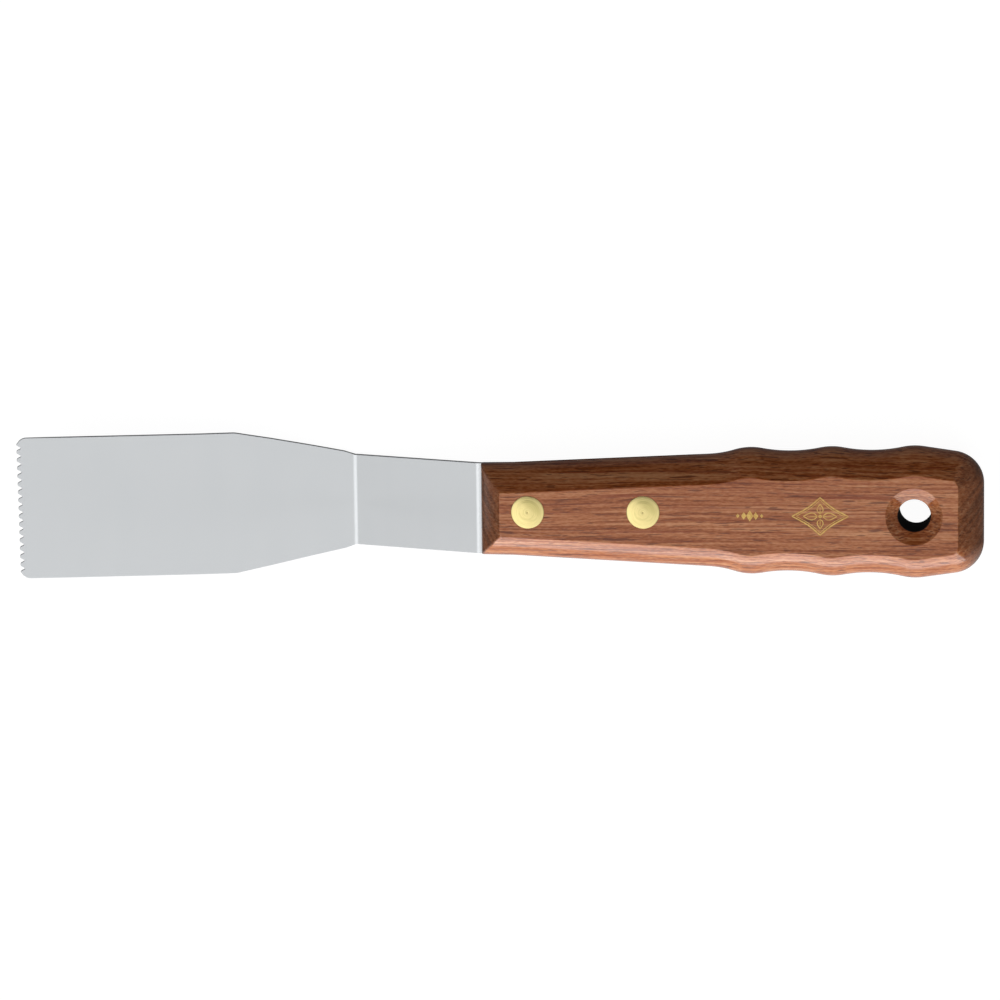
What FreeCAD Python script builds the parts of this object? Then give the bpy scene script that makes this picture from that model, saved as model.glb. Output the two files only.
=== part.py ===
import FreeCAD, Part
import os
import math
import Sketcher
from FreeCAD import Vector, Placement, Rotation

# Toothed ink knife: cranked spring-steel blade riveted into a one-piece hardwood handle.
# Design axes, before the knife is laid down at rest: the handle's front end is at X = 0 and its
# tail at +X, the handle's middle plane is Z = 0, the printed face looks to +Z, the blade is at -X.
# The rest pose then turns everything about Y so that the heel bend and the tail stand on Z = 0,
# with the origin at the bottom centre of the whole knife.

doc = FreeCAD.newDocument("ink_knife")

# ---------------------------------------------------------------- driving dimensions
sheet = doc.addObject("Spreadsheet::Sheet", "dims")
DIMS = [
    # steel
    ("blade_thk", 1.2, "sheet thickness"),
    ("blade_width", 35.0, "blade, full width"),
    ("neck_width", 22.4, "neck and tang width"),
    ("blade_flat_len", 52.2, "parallel part of the blade, along X"),
    ("taper_len", 28.9, "tapered heel, along X"),
    ("neck_bend_x", 0.7, "neck bend, in front of the handle"),
    ("neck_run", 31.6, "neck, along X"),
    ("neck_drop", 10.4, "how far the heel bend lies below the tang"),
    ("tip_rise", 13.6, "how far the toothed edge rises above the heel bend"),
    ("bend_rad", 2.4, "bend radius at the sheet's middle"),
    ("tang_len", 52.0, "tang inside the handle"),
    ("tip_corner_rad", 2.4, "blade corners"),
    ("heel_corner_rad", 6.0, "where the taper leaves the parallel part"),
    ("tooth_pitch", 2.0, "notch spacing"),
    ("tooth_count", 16, "number of notches"),
    ("notch_depth", 1.0, "depth of a notch"),
    ("notch_open", 1.5, "width of a notch at the edge"),
    ("notch_root", 0.36, "width of the flat root"),
    ("tang_hole_dia", 5.4, "rivet holes in the tang"),
    # handle
    ("handle_len", 122.5, "handle length"),
    ("handle_thk", 16.0, "handle thickness"),
    ("front_half", 11.4, "half width at the front end"),
    ("front_run", 8.0, "length of the nearly parallel front"),
    ("front_run_half", 11.5, "half width at its end"),
    ("flare_end", 54.6, "end of the straight flare"),
    ("flare_half", 13.85, "half width there"),
    ("flare_blend_rad", 25.0, "hollow between flare and first swell"),
    ("swell_rad", 14.0, "radius of the three swells"),
    ("swell_a_x", 66.0, "first swell"),
    ("swell_a_half", 15.65, "half width at the first swell"),
    ("swell_b_x", 85.6, "second swell"),
    ("swell_b_half", 15.97, "half width at the second swell"),
    ("swell_c_x", 105.6, "third swell"),
    ("swell_c_half", 16.3, "half width at the third swell"),
    ("hollow_rad", 36.0, "hollows between the swells"),
    ("tail_corner_rad", 8.0, "tail corners in plan"),
    ("tail_flat_half", 7.1, "half of the tail's straight end"),
    ("bevel", 5.8, "bevel all round both faces"),
    ("side_rad", 5.0, "rounding between bevel and side"),
    ("kerf_gap", 1.2, "saw kerf, a press fit on the tang"),
    ("kerf_len", 52.6, "kerf depth"),
    # hanging hole
    ("hole_x", 105.6, "hanging hole from the front end"),
    ("hole_dia", 8.3, "hanging hole"),
    ("sink_dia", 13.9, "countersink at the face"),
    ("sink_depth", 1.8, "countersink depth"),
    # cutler's rivets
    ("rivet_a_x", 11.8, "front rivet"),
    ("rivet_b_x", 39.8, "rear rivet"),
    ("head_dia", 8.0, "rivet head"),
    ("head_thk", 1.3, "head thickness at its rim"),
    ("head_dome", 0.35, "how far the dome stands above its rim"),
    ("head_gap", 0.06, "radial gap round a head in its counterbore"),
    ("tube_dia", 5.0, "outside of the hollow shank"),
    ("tube_bore", 3.3, "bore of the hollow shank"),
    ("stud_dia", 3.2, "solid shank"),
    ("shank_hole_dia", 5.1, "drilled hole in the wood"),
    ("tube_end_gap", 0.4, "gap between the hollow shank's end and the stud's head"),
    ("stud_end_gap", 0.8, "gap between the stud's end and the other head"),
]
row = 1
for name, value, note in DIMS:
    sheet.set("A%d" % row, name.replace("_", " "))
    sheet.set("B%d" % row, repr(value))
    sheet.setAlias("B%d" % row, name)
    sheet.set("C%d" % row, note)
    row += 1
doc.recompute()


def dim(name):
    return float(getattr(sheet, name))


# ---------------------------------------------------------------- helpers
def plane_of(body, role):
    for f in body.Origin.OriginFeatures:
        if f.Role == role:
            return f
    raise RuntimeError("no " + role)


def new_body(label):
    body = doc.addObject("PartDesign::Body", label)
    body.Label = label
    return body


def new_sketch(body, name, role):
    sk = body.newObject("Sketcher::SketchObject", name)
    sk.AttachmentSupport = [(plane_of(body, role), "")]
    sk.MapMode = "FlatFace"
    return sk


def bind(sk, kind, refs, value, expression):
    """A named size in a sketch, driven by the sheet."""
    idx = sk.addConstraint(Sketcher.Constraint(kind, *refs, value))
    sk.setExpression("Constraints[%d]" % idx, expression)
    return idx


def signed_bind(sk, kind, geo, pos, value, expression):
    """Distance of a point from the sketch's origin along an axis, whatever its sign."""
    if abs(value) < 1e-9:
        line = -2 if kind == "DistanceX" else -1
        sk.addConstraint(Sketcher.Constraint("PointOnObject", geo, pos, line))
        return
    if value > 0:
        bind(sk, kind, (-1, 1, geo, pos), value, expression)
    else:
        bind(sk, kind, (geo, pos, -1, 1), -value, expression)


def circle(sk, x, dia, xexpr, dexpr):
    c = sk.addGeometry(Part.Circle(Vector(x, 0, 0), Vector(0, 0, 1), dia / 2.0), False)
    bind(sk, "Diameter", (c,), dia, dexpr)
    if xexpr is None:
        sk.addConstraint(Sketcher.Constraint("Coincident", c, 3, -1, 1))
    else:
        signed_bind(sk, "DistanceX", c, 3, x, xexpr)
        sk.addConstraint(Sketcher.Constraint("PointOnObject", c, 3, -1))
    return c


def polygon(sk, pts):
    """Closed polygon of lines. Each corner is (x, x expression, y, y expression)."""
    n = len(pts)
    ids = []
    for i in range(n):
        a, b = pts[i], pts[(i + 1) % n]
        ids.append(sk.addGeometry(Part.LineSegment(Vector(a[0], a[2], 0), Vector(b[0], b[2], 0)), False))
    for i in range(n):
        sk.addConstraint(Sketcher.Constraint("Coincident", ids[i], 2, ids[(i + 1) % n], 1))
    for i, (x, xe, y, ye) in enumerate(pts):
        signed_bind(sk, "DistanceX", ids[i], 1, x, xe)
        signed_bind(sk, "DistanceY", ids[i], 1, y, ye)
    return ids


def check_solved(sk):
    left = sk.solve()
    if left != 0:
        raise RuntimeError("sketch %s does not solve: %s" % (sk.Name, left))


S = "<<dims>>."
sheet.Label = "dims"

# ================================================================ blade
blade = new_body("blade")

# Side view of the sheet's middle line: toothed edge, heel bend, neck bend, end of the tang.
x_neck = -dim("neck_bend_x")
x_heel = x_neck - dim("neck_run")
z_heel = -dim("neck_drop")
x_tip = x_heel - dim("taper_len") - dim("blade_flat_len")
z_tip = z_heel + dim("tip_rise")

prof = new_sketch(blade, "side_view", "XZ_Plane")
half_t = dim("blade_thk") / 2.0


def offset_chain(points, d):
    """Mitred parallel of an open chain, d to its left."""
    out = []
    for i, p in enumerate(points):
        if i == 0:
            t = (points[1] - p).normalize()
            out.append(p + Vector(-t.y, t.x, 0) * d)
        elif i == len(points) - 1:
            t = (p - points[i - 1]).normalize()
            out.append(p + Vector(-t.y, t.x, 0) * d)
        else:
            t0 = (p - points[i - 1]).normalize()
            t1 = (points[i + 1] - p).normalize()
            n0, n1 = Vector(-t0.y, t0.x, 0), Vector(-t1.y, t1.x, 0)
            m = (n0 + n1).normalize()
            out.append(p + m * (d / m.dot(n0)))
    return out


mid = [Vector(x_tip, z_tip, 0), Vector(x_heel, z_heel, 0), Vector(x_neck, 0.0, 0), Vector(dim("tang_len"), 0.0, 0)]
# Construction lines carry the sizes of the middle line.
guide = []
for a, b in zip(mid[:-1], mid[1:]):
    guide.append(prof.addGeometry(Part.LineSegment(a, b), True))
prof.addConstraint(Sketcher.Constraint("Coincident", guide[0], 2, guide[1], 1))
prof.addConstraint(Sketcher.Constraint("Coincident", guide[1], 2, guide[2], 1))
prof.addConstraint(Sketcher.Constraint("PointOnObject", guide[1], 2, -1))
bind(prof, "DistanceX", (guide[1], 2, -1, 1), -x_neck, S + "neck_bend_x")
prof.addConstraint(Sketcher.Constraint("PointOnObject", guide[2], 2, -1))
bind(prof, "DistanceX", (-1, 1, guide[2], 2), dim("tang_len"), S + "tang_len")
bind(prof, "DistanceX", (guide[1], 1, guide[1], 2), dim("neck_run"), S + "neck_run")
bind(prof, "DistanceY", (guide[1], 1, guide[1], 2), -z_heel, S + "neck_drop")
bind(prof, "DistanceX", (guide[0], 1, guide[0], 2), x_heel - x_tip, S + "taper_len + " + S + "blade_flat_len")
bind(prof, "DistanceY", (guide[0], 2, guide[0], 1), z_tip - z_heel, S + "tip_rise")

upper = offset_chain(mid, half_t)
lower = offset_chain(mid, -half_t)
up = [prof.addGeometry(Part.LineSegment(a, b), False) for a, b in zip(upper[:-1], upper[1:])]
lo = [prof.addGeometry(Part.LineSegment(a, b), False) for a, b in zip(lower[:-1], lower[1:])]
end_tip = prof.addGeometry(Part.LineSegment(lower[0], upper[0]), False)
end_tang = prof.addGeometry(Part.LineSegment(upper[-1], lower[-1]), False)
for k in range(3):
    prof.addConstraint(Sketcher.Constraint("Parallel", up[k], guide[k]))
    prof.addConstraint(Sketcher.Constraint("Parallel", lo[k], guide[k]))
for k in range(2):
    prof.addConstraint(Sketcher.Constraint("Coincident", up[k], 2, up[k + 1], 1))
    prof.addConstraint(Sketcher.Constraint("Coincident", lo[k], 2, lo[k + 1], 1))
prof.addConstraint(Sketcher.Constraint("Coincident", end_tip, 1, lo[0], 1))
prof.addConstraint(Sketcher.Constraint("Coincident", end_tip, 2, up[0], 1))
prof.addConstraint(Sketcher.Constraint("Coincident", end_tang, 1, up[2], 2))
prof.addConstraint(Sketcher.Constraint("Coincident", end_tang, 2, lo[2], 2))
prof.addConstraint(Sketcher.Constraint("Perpendicular", end_tip, guide[0]))
prof.addConstraint(Sketcher.Constraint("PointOnObject", guide[0], 1, end_tip))
prof.addConstraint(Sketcher.Constraint("Vertical", end_tang))
prof.addConstraint(Sketcher.Constraint("PointOnObject", guide[2], 2, end_tang))
for k in range(3):
    bind(prof, "Distance", (up[k], 1, guide[k]), half_t, S + "blade_thk / 2")
    bind(prof, "Distance", (lo[k], 1, guide[k]), half_t, S + "blade_thk / 2")
check_solved(prof)

strip = blade.newObject("PartDesign::Pad", "strip")
strip.Profile = prof
strip.Type = 0
strip.SideType = "Symmetric"
strip.setExpression("Length", S + "blade_width + 6")
doc.recompute()


def bend_edges(shape):
    """The four edges across the sheet where it is bent, split into inner and outer."""
    inner, outer = [], []
    tan_up = {1: "heel", 2: "neck"}
    for i, e in enumerate(shape.Edges, 1):
        if len(e.Vertexes) != 2:
            continue
        a, b = e.Vertexes[0].Point, e.Vertexes[1].Point
        if abs(abs(a.y - b.y) - (dim("blade_width") + 6)) > 1e-3:
            continue
        for k, side_pts in (("u", upper), ("l", lower)):
            for j in (1, 2):
                p = side_pts[j]
                if abs(a.x - p.x) < 0.02 and abs(a.z - p.y) < 0.02:
                    # the heel bend opens upwards, the neck bend opens downwards
                    is_inner = (j == 1 and k == "u") or (j == 2 and k == "l")
                    (inner if is_inner else outer).append("Edge%d" % i)
    return inner, outer


inner, outer = bend_edges(strip.Shape)
if len(inner) != 2 or len(outer) != 2:
    raise RuntimeError("bend edges: %s %s" % (inner, outer))
bend_in = blade.newObject("PartDesign::Fillet", "bend_inside")
bend_in.Base = (strip, inner)
bend_in.setExpression("Radius", S + "bend_rad - " + S + "blade_thk / 2")
doc.recompute()
_, outer = bend_edges(bend_in.Shape)
bend_out = blade.newObject("PartDesign::Fillet", "bend_outside")
bend_out.Base = (bend_in, outer)
bend_out.setExpression("Radius", S + "bend_rad + " + S + "blade_thk / 2")
doc.recompute()

# Plan view: everything outside this outline is cut away.
plan = new_sketch(blade, "plan_view", "XY_Plane")
bw, nw = dim("blade_width") / 2.0, dim("neck_width") / 2.0
x_sh = x_heel - dim("taper_len")
BW, NW = S + "blade_width / 2", S + "neck_width / 2"
XH = "%sneck_bend_x + %sneck_run" % (S, S)
XS = "%s + %staper_len" % (XH, S)
XTP = "%s + %sblade_flat_len" % (XS, S)
TL = S + "tang_len"
margin = 5.0
# outer frame
polygon(plan, [
    (x_tip - margin, XTP + " + 5", -(bw + margin), BW + " + 5"),
    (dim("tang_len") + margin, TL + " + 5", -(bw + margin), BW + " + 5"),
    (dim("tang_len") + margin, TL + " + 5", bw + margin, BW + " + 5"),
    (x_tip - margin, XTP + " + 5", bw + margin, BW + " + 5"),
])
# the outline runs past both ends so that the toothed edge and the tang's end stay square
x_over = x_tip - 2.0
polygon(plan, [
    (x_over, XTP + " + 2", -bw, BW),
    (x_sh, XS, -bw, BW),
    (x_heel, XH, -nw, NW),
    (dim("tang_len") + 2.0, TL + " + 2", -nw, NW),
    (dim("tang_len") + 2.0, TL + " + 2", nw, NW),
    (x_heel, XH, nw, NW),
    (x_sh, XS, bw, BW),
    (x_over, XTP + " + 2", bw, BW),
])
check_solved(plan)
trim = blade.newObject("PartDesign::Pocket", "trim")
trim.Profile = plan
trim.Type = 1
trim.SideType = "Symmetric"
before = bend_out.Shape.Volume
doc.recompute()
if not trim.Shape.Volume < before - 100:
    raise RuntimeError("the plan outline cut nothing")


def upright_edges(shape, x, y, tol=0.4):
    """Edges across the sheet's thickness at a plan position."""
    out = []
    for i, e in enumerate(shape.Edges, 1):
        if len(e.Vertexes) != 2:
            continue
        a, b = e.Vertexes[0].Point, e.Vertexes[1].Point
        if abs(a.y - b.y) > 1e-4 or abs((a - b).Length - dim("blade_thk")) > 0.1:
            continue
        m = (a + b) * 0.5
        if abs(m.x - x) < tol and abs(abs(m.y) - y) < 0.05:
            out.append("Edge%d" % i)
    return out


tip_edges = upright_edges(trim.Shape, x_tip, bw)
if len(tip_edges) != 2:
    raise RuntimeError("tip corners %s" % tip_edges)
tip_round = blade.newObject("PartDesign::Fillet", "tip_corners")
tip_round.Base = (trim, tip_edges)
tip_round.setExpression("Radius", S + "tip_corner_rad")
doc.recompute()
sh_edges = upright_edges(tip_round.Shape, x_sh, bw)
if len(sh_edges) != 2:
    raise RuntimeError("shoulder corners %s" % sh_edges)
sh_round = blade.newObject("PartDesign::Fillet", "shoulder_corners")
sh_round.Base = (tip_round, sh_edges)
sh_round.setExpression("Radius", S + "heel_corner_rad")
doc.recompute()

# One notch of the toothed edge, then the row of them.
tooth = new_sketch(blade, "notch_view", "XY_Plane")
y0 = -dim("tooth_pitch") * (dim("tooth_count") - 1) / 2.0
pitch_expr = "%stooth_pitch * (%stooth_count - 1) / 2" % (S, S)
no, nr, nd = dim("notch_open") / 2.0, dim("notch_root") / 2.0, dim("notch_depth")
slope_x = 0.35
polygon(tooth, [
    (x_tip - 1.0, XTP + " + 1", y0 - no, pitch_expr + " + " + S + "notch_open / 2"),
    (x_tip - slope_x, XTP + " + 0.35", y0 - no, pitch_expr + " + " + S + "notch_open / 2"),
    (x_tip + nd - 0.15, XTP + " - " + S + "notch_depth + 0.15", y0 - nr, pitch_expr + " + " + S + "notch_root / 2"),
    (x_tip + nd, XTP + " - " + S + "notch_depth", y0 - nr * 0.45, pitch_expr + " + " + S + "notch_root * 0.225"),
    (x_tip + nd, XTP + " - " + S + "notch_depth", y0 + nr * 0.45, pitch_expr + " - " + S + "notch_root * 0.225"),
    (x_tip + nd - 0.15, XTP + " - " + S + "notch_depth + 0.15", y0 + nr, pitch_expr + " - " + S + "notch_root / 2"),
    (x_tip - slope_x, XTP + " + 0.35", y0 + no, pitch_expr + " - " + S + "notch_open / 2"),
    (x_tip - 1.0, XTP + " + 1", y0 + no, pitch_expr + " - " + S + "notch_open / 2"),
])
check_solved(tooth)
notch = blade.newObject("PartDesign::Pocket", "notch")
notch.Profile = tooth
notch.Type = 1
notch.SideType = "Symmetric"
before = sh_round.Shape.Volume
doc.recompute()
one = before - notch.Shape.Volume
if not one > 0.3:
    raise RuntimeError("the notch cut nothing")
row_of = blade.newObject("PartDesign::LinearPattern", "notch_row")
row_of.Originals = [notch]
row_of.Direction = (tooth, ["V_Axis"])
row_of.setExpression("Length", "%stooth_pitch * (%stooth_count - 1)" % (S, S))
row_of.setExpression("Occurrences", S + "tooth_count")
blade.Tip = row_of
doc.recompute()
print("one notch %.3f mm3, row %.3f mm3" % (one, before - row_of.Shape.Volume))
if abs((before - row_of.Shape.Volume) / one - dim("tooth_count")) > 0.3:
    raise RuntimeError("the notch row is not whole")

# Rivet holes in the tang.
tang_sk = new_sketch(blade, "tang_holes_view", "XY_Plane")
circle(tang_sk, dim("rivet_a_x"), dim("tang_hole_dia"), S + "rivet_a_x", S + "tang_hole_dia")
circle(tang_sk, dim("rivet_b_x"), dim("tang_hole_dia"), S + "rivet_b_x", S + "tang_hole_dia")
check_solved(tang_sk)
tang_cut = blade.newObject("PartDesign::Pocket", "tang_holes")
tang_cut.Profile = tang_sk
tang_cut.Type = 1
tang_cut.SideType = "Symmetric"
before = row_of.Shape.Volume
blade.Tip = tang_cut
doc.recompute()
want = 2 * math.pi * (dim("tang_hole_dia") / 2) ** 2 * dim("blade_thk")
if abs(before - tang_cut.Shape.Volume - want) > 0.5:
    raise RuntimeError("tang holes: %.2f, wanted %.2f" % (before - tang_cut.Shape.Volume, want))

# ================================================================ handle
handle = new_body("handle")
out = new_sketch(handle, "outline", "XY_Plane")

R0, RS, RH, RT = dim("flare_blend_rad"), dim("swell_rad"), dim("hollow_rad"), dim("tail_corner_rad")
L = dim("handle_len")


def tangent_arc_between(c0, r0, c1, r1, rh):
    """Centre of a hollow of radius rh that touches two swells from outside."""
    d = (c1 - c0).Length
    a, b = r0 + rh, r1 + rh
    x = (d * d + a * a - b * b) / (2 * d)
    y = math.sqrt(a * a - x * x)
    u = (c1 - c0).normalize()
    n = Vector(-u.y, u.x, 0)
    return c0 + u * x + n * y


def touch(c0, r0, c1):
    return c0 + (c1 - c0).normalize() * r0


P0 = Vector(0, dim("front_half"), 0)
P1 = Vector(dim("front_run"), dim("front_run_half"), 0)
flare_dir = (Vector(dim("flare_end"), dim("flare_half"), 0) - P1).normalize()
flare_n = Vector(-flare_dir.y, flare_dir.x, 0)
A = Vector(dim("swell_a_x"), dim("swell_a_half") - RS, 0)
B = Vector(dim("swell_b_x"), dim("swell_b_half") - RS, 0)
C = Vector(dim("swell_c_x"), dim("swell_c_half") - RS, 0)
K = Vector(L - RT, dim("tail_flat_half"), 0)
# hollow between the flare and the first swell: on the flare's parallel at R0, R0 + RS from A
base = P1 + flare_n * R0
rel = A - base
along = rel.dot(flare_dir)
across = rel.dot(flare_n)
H0 = base + flare_dir * (along - math.sqrt((R0 + RS) ** 2 - across ** 2))
T0 = H0 - flare_n * R0
T1 = touch(A, RS, H0)
H1 = tangent_arc_between(A, RS, B, RS, RH)
T2, T3 = touch(A, RS, H1), touch(B, RS, H1)
H2 = tangent_arc_between(B, RS, C, RS, RH)
T4, T5 = touch(B, RS, H2), touch(C, RS, H2)
# common tangent from the third swell down to the tail corner
kc = K - C
beta = math.atan2(kc.y, kc.x)
gamma = math.acos((RS - RT) / kc.length) if hasattr(kc, "length") else math.acos((RS - RT) / kc.Length)
nrm = Vector(math.cos(beta + gamma), math.sin(beta + gamma), 0)
T6, T7 = C + nrm * RS, K + nrm * RT
T8 = Vector(L, dim("tail_flat_half"), 0)


def arc_geo(c, r, p, q):
    """Arc about c, counter-clockwise from p to q."""
    a0 = math.atan2(p.y - c.y, p.x - c.x)
    a1 = math.atan2(q.y - c.y, q.x - c.x)
    if a1 < a0:
        a1 += 2 * math.pi
    return Part.ArcOfCircle(Part.Circle(c, Vector(0, 0, 1), r), a0, a1)


def mirror(v):
    return Vector(v.x, -v.y, 0)


def side(flip):
    """One side of the outline from the front corner to the tail's straight end."""
    f = (lambda v: mirror(v)) if flip else (lambda v: v)
    g = []

    def add_line(p, q):
        g.append(("line", out.addGeometry(Part.LineSegment(f(p), f(q)), False), 1, 2))

    def add_arc(c, r, p, q, hollow):
        # seen from above, a swell on the +Y side is run from q to p counter-clockwise
        ccw_from_p = hollow != flip
        a = arc_geo(f(c), r, f(p), f(q)) if ccw_from_p else arc_geo(f(c), r, f(q), f(p))
        i = out.addGeometry(a, False)
        g.append(("arc", i, 1, 2) if ccw_from_p else ("arc", i, 2, 1))

    add_line(P0, P1)
    add_line(P1, T0)
    add_arc(H0, R0, T0, T1, True)
    add_arc(A, RS, T1, T2, False)
    add_arc(H1, RH, T2, T3, True)
    add_arc(B, RS, T3, T4, False)
    add_arc(H2, RH, T4, T5, True)
    add_arc(C, RS, T5, T6, False)
    add_line(T6, T7)
    add_arc(K, RT, T7, T8, False)
    return g


top = side(False)
bot = side(True)
tail_line = out.addGeometry(Part.LineSegment(T8, mirror(T8)), False)
front_line = out.addGeometry(Part.LineSegment(mirror(P0), P0), False)

for g, flip in ((top, False), (bot, True)):
    sgn = -1 if flip else 1
    # first two lines meet at a slight corner, everything after is tangent
    out.addConstraint(Sketcher.Constraint("Coincident", g[0][1], g[0][3], g[1][1], g[1][2]))
    for a, b in zip(g[1:-1], g[2:]):
        out.addConstraint(Sketcher.Constraint("Tangent", a[1], a[3], b[1], b[2]))
    out.addConstraint(Sketcher.Constraint("Tangent", g[-1][1], g[-1][3], tail_line, 2 if flip else 1))
    out.addConstraint(Sketcher.Constraint("Coincident", g[0][1], g[0][2], front_line, 1 if flip else 2))
    out.addConstraint(Sketcher.Constraint("PointOnObject", g[0][1], 1, -2))
    signed_bind(out, "DistanceY", g[0][1], 1, sgn * P0.y, S + "front_half")
    signed_bind(out, "DistanceX", g[0][1], 2, P1.x, S + "front_run")
    signed_bind(out, "DistanceY", g[0][1], 2, sgn * P1.y, S + "front_run_half")
    # direction of the flare: its far end lies on the line to (flare_end, flare_half)
    guide_pt = out.addGeometry(Part.Point(Vector(dim("flare_end"), sgn * dim("flare_half"), 0)), True)
    signed_bind(out, "DistanceX", guide_pt, 1, dim("flare_end"), S + "flare_end")
    signed_bind(out, "DistanceY", guide_pt, 1, sgn * dim("flare_half"), S + "flare_half")
    out.addConstraint(Sketcher.Constraint("PointOnObject", guide_pt, 1, g[1][1]))
    for idx, c, cx, half in ((3, A, "swell_a_x", "swell_a_half"), (5, B, "swell_b_x", "swell_b_half"), (7, C, "swell_c_x", "swell_c_half")):
        bind(out, "Radius", (g[idx][1],), RS, S + "swell_rad")
        signed_bind(out, "DistanceX", g[idx][1], 3, c.x, S + cx)
        signed_bind(out, "DistanceY", g[idx][1], 3, sgn * c.y, "%s%s - %sswell_rad" % (S, half, S))
    bind(out, "Radius", (g[2][1],), R0, S + "flare_blend_rad")
    bind(out, "Radius", (g[4][1],), RH, S + "hollow_rad")
    bind(out, "Radius", (g[6][1],), RH, S + "hollow_rad")
    bind(out, "Radius", (g[9][1],), RT, S + "tail_corner_rad")
    signed_bind(out, "DistanceY", g[9][1], 3, sgn * K.y, S + "tail_flat_half")
signed_bind(out, "DistanceX", tail_line, 1, L, S + "handle_len")
check_solved(out)

body_pad = handle.newObject("PartDesign::Pad", "block")
body_pad.Profile = out
body_pad.Type = 0
body_pad.SideType = "Symmetric"
body_pad.setExpression("Length", S + "handle_thk")
doc.recompute()

# Bevel both faces all round, then round the bevel into the side.
T2h = dim("handle_thk") / 2.0


def rim_edges(shape, z, tol=1e-3):
    out_names = []
    for i, e in enumerate(shape.Edges, 1):
        bb = e.BoundBox
        if abs(abs(bb.ZMin) - z) < tol and abs(abs(bb.ZMax) - z) < tol and bb.ZMin * bb.ZMax > 0:
            out_names.append("Edge%d" % i)
    return out_names


bev = handle.newObject("PartDesign::Chamfer", "bevels")
bev.Base = (body_pad, rim_edges(body_pad.Shape, T2h))
bev.setExpression("Size", S + "bevel")
doc.recompute()
print("bevels", bev.State, bev.Shape.isValid(), round(body_pad.Shape.Volume, 1), round(bev.Shape.Volume, 1))
rnd = handle.newObject("PartDesign::Fillet", "side_rounding")
rnd.Base = (bev, rim_edges(bev.Shape, T2h - dim("bevel")))
rnd.setExpression("Radius", S + "side_rad")
doc.recompute()
print("rounding", rnd.State, rnd.Shape.isValid(), round(rnd.Shape.Volume, 1))

# Saw kerf for the tang, open at the front and on both sides.
kerf_sk = new_sketch(handle, "kerf_view", "XZ_Plane")
kg = dim("kerf_gap") / 2.0
polygon(kerf_sk, [
    (-1.0, "1", -kg, S + "kerf_gap / 2"),
    (dim("kerf_len"), S + "kerf_len", -kg, S + "kerf_gap / 2"),
    (dim("kerf_len"), S + "kerf_len", kg, S + "kerf_gap / 2"),
    (-1.0, "1", kg, S + "kerf_gap / 2"),
])
check_solved(kerf_sk)
kerf = handle.newObject("PartDesign::Pocket", "kerf")
kerf.Profile = kerf_sk
kerf.Type = 1
kerf.SideType = "Symmetric"
before = rnd.Shape.Volume
doc.recompute()
if not before - kerf.Shape.Volume > 1000:
    raise RuntimeError("the kerf cut nothing")


def turned_cut(body, name, x, xexpr, pts):
    """Cut turned about an upright axis at x; pts are (radius, radius expr, z, z expr)."""
    sk = new_sketch(body, name + "_view", "XZ_Plane")
    axis = sk.addGeometry(Part.LineSegment(Vector(x, -1, 0), Vector(x, 1, 0)), True)
    sk.addConstraint(Sketcher.Constraint("Vertical", axis))
    signed_bind(sk, "DistanceX", axis, 1, x, xexpr)
    signed_bind(sk, "DistanceY", axis, 1, -1.0, "1")
    signed_bind(sk, "DistanceY", axis, 2, 1.0, "1")
    polygon(sk, [(x + r, "%s + %s" % (xexpr, re) if re else xexpr, z, ze) for r, re, z, ze in pts])
    check_solved(sk)
    cut = body.newObject("PartDesign::Groove", name)
    cut.Profile = sk
    cut.ReferenceAxis = (sk, ["Axis0"])
    cut.Angle = 360
    body.Tip = cut
    doc.recompute()
    return cut


HT = S + "handle_thk / 2"
over = 0.5
# Hanging hole: straight bore, countersunk on both faces by a drill point.
grow = (dim("sink_dia") - dim("hole_dia")) / 2.0 / dim("sink_depth") * over
GROW = "(%ssink_dia - %shole_dia) / 2 / %ssink_depth * 0.5" % (S, S, S)
before = kerf.Shape.Volume
hang = turned_cut(handle, "hanging_hole", dim("hole_x"), S + "hole_x", [
    (0.0, "", -T2h - over, HT + " + 0.5"),
    (dim("sink_dia") / 2 + grow, S + "sink_dia / 2 + " + GROW, -T2h - over, HT + " + 0.5"),
    (dim("hole_dia") / 2, S + "hole_dia / 2", -T2h + dim("sink_depth"), HT + " - " + S + "sink_depth"),
    (dim("hole_dia") / 2, S + "hole_dia / 2", T2h - dim("sink_depth"), HT + " - " + S + "sink_depth"),
    (dim("sink_dia") / 2 + grow, S + "sink_dia / 2 + " + GROW, T2h + over, HT + " + 0.5"),
    (0.0, "", T2h + over, HT + " + 0.5"),
])
r0, r1, dd = dim("hole_dia") / 2, dim("sink_dia") / 2, dim("sink_depth")
want = math.pi * r0 * r0 * (2 * T2h - 2 * dd) + 2 * math.pi * dd / 3 * (r0 * r0 + r0 * r1 + r1 * r1)
if abs(before - hang.Shape.Volume - want) > 1.0:
    raise RuntimeError("hanging hole: %.1f, wanted %.1f" % (before - hang.Shape.Volume, want))

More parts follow.
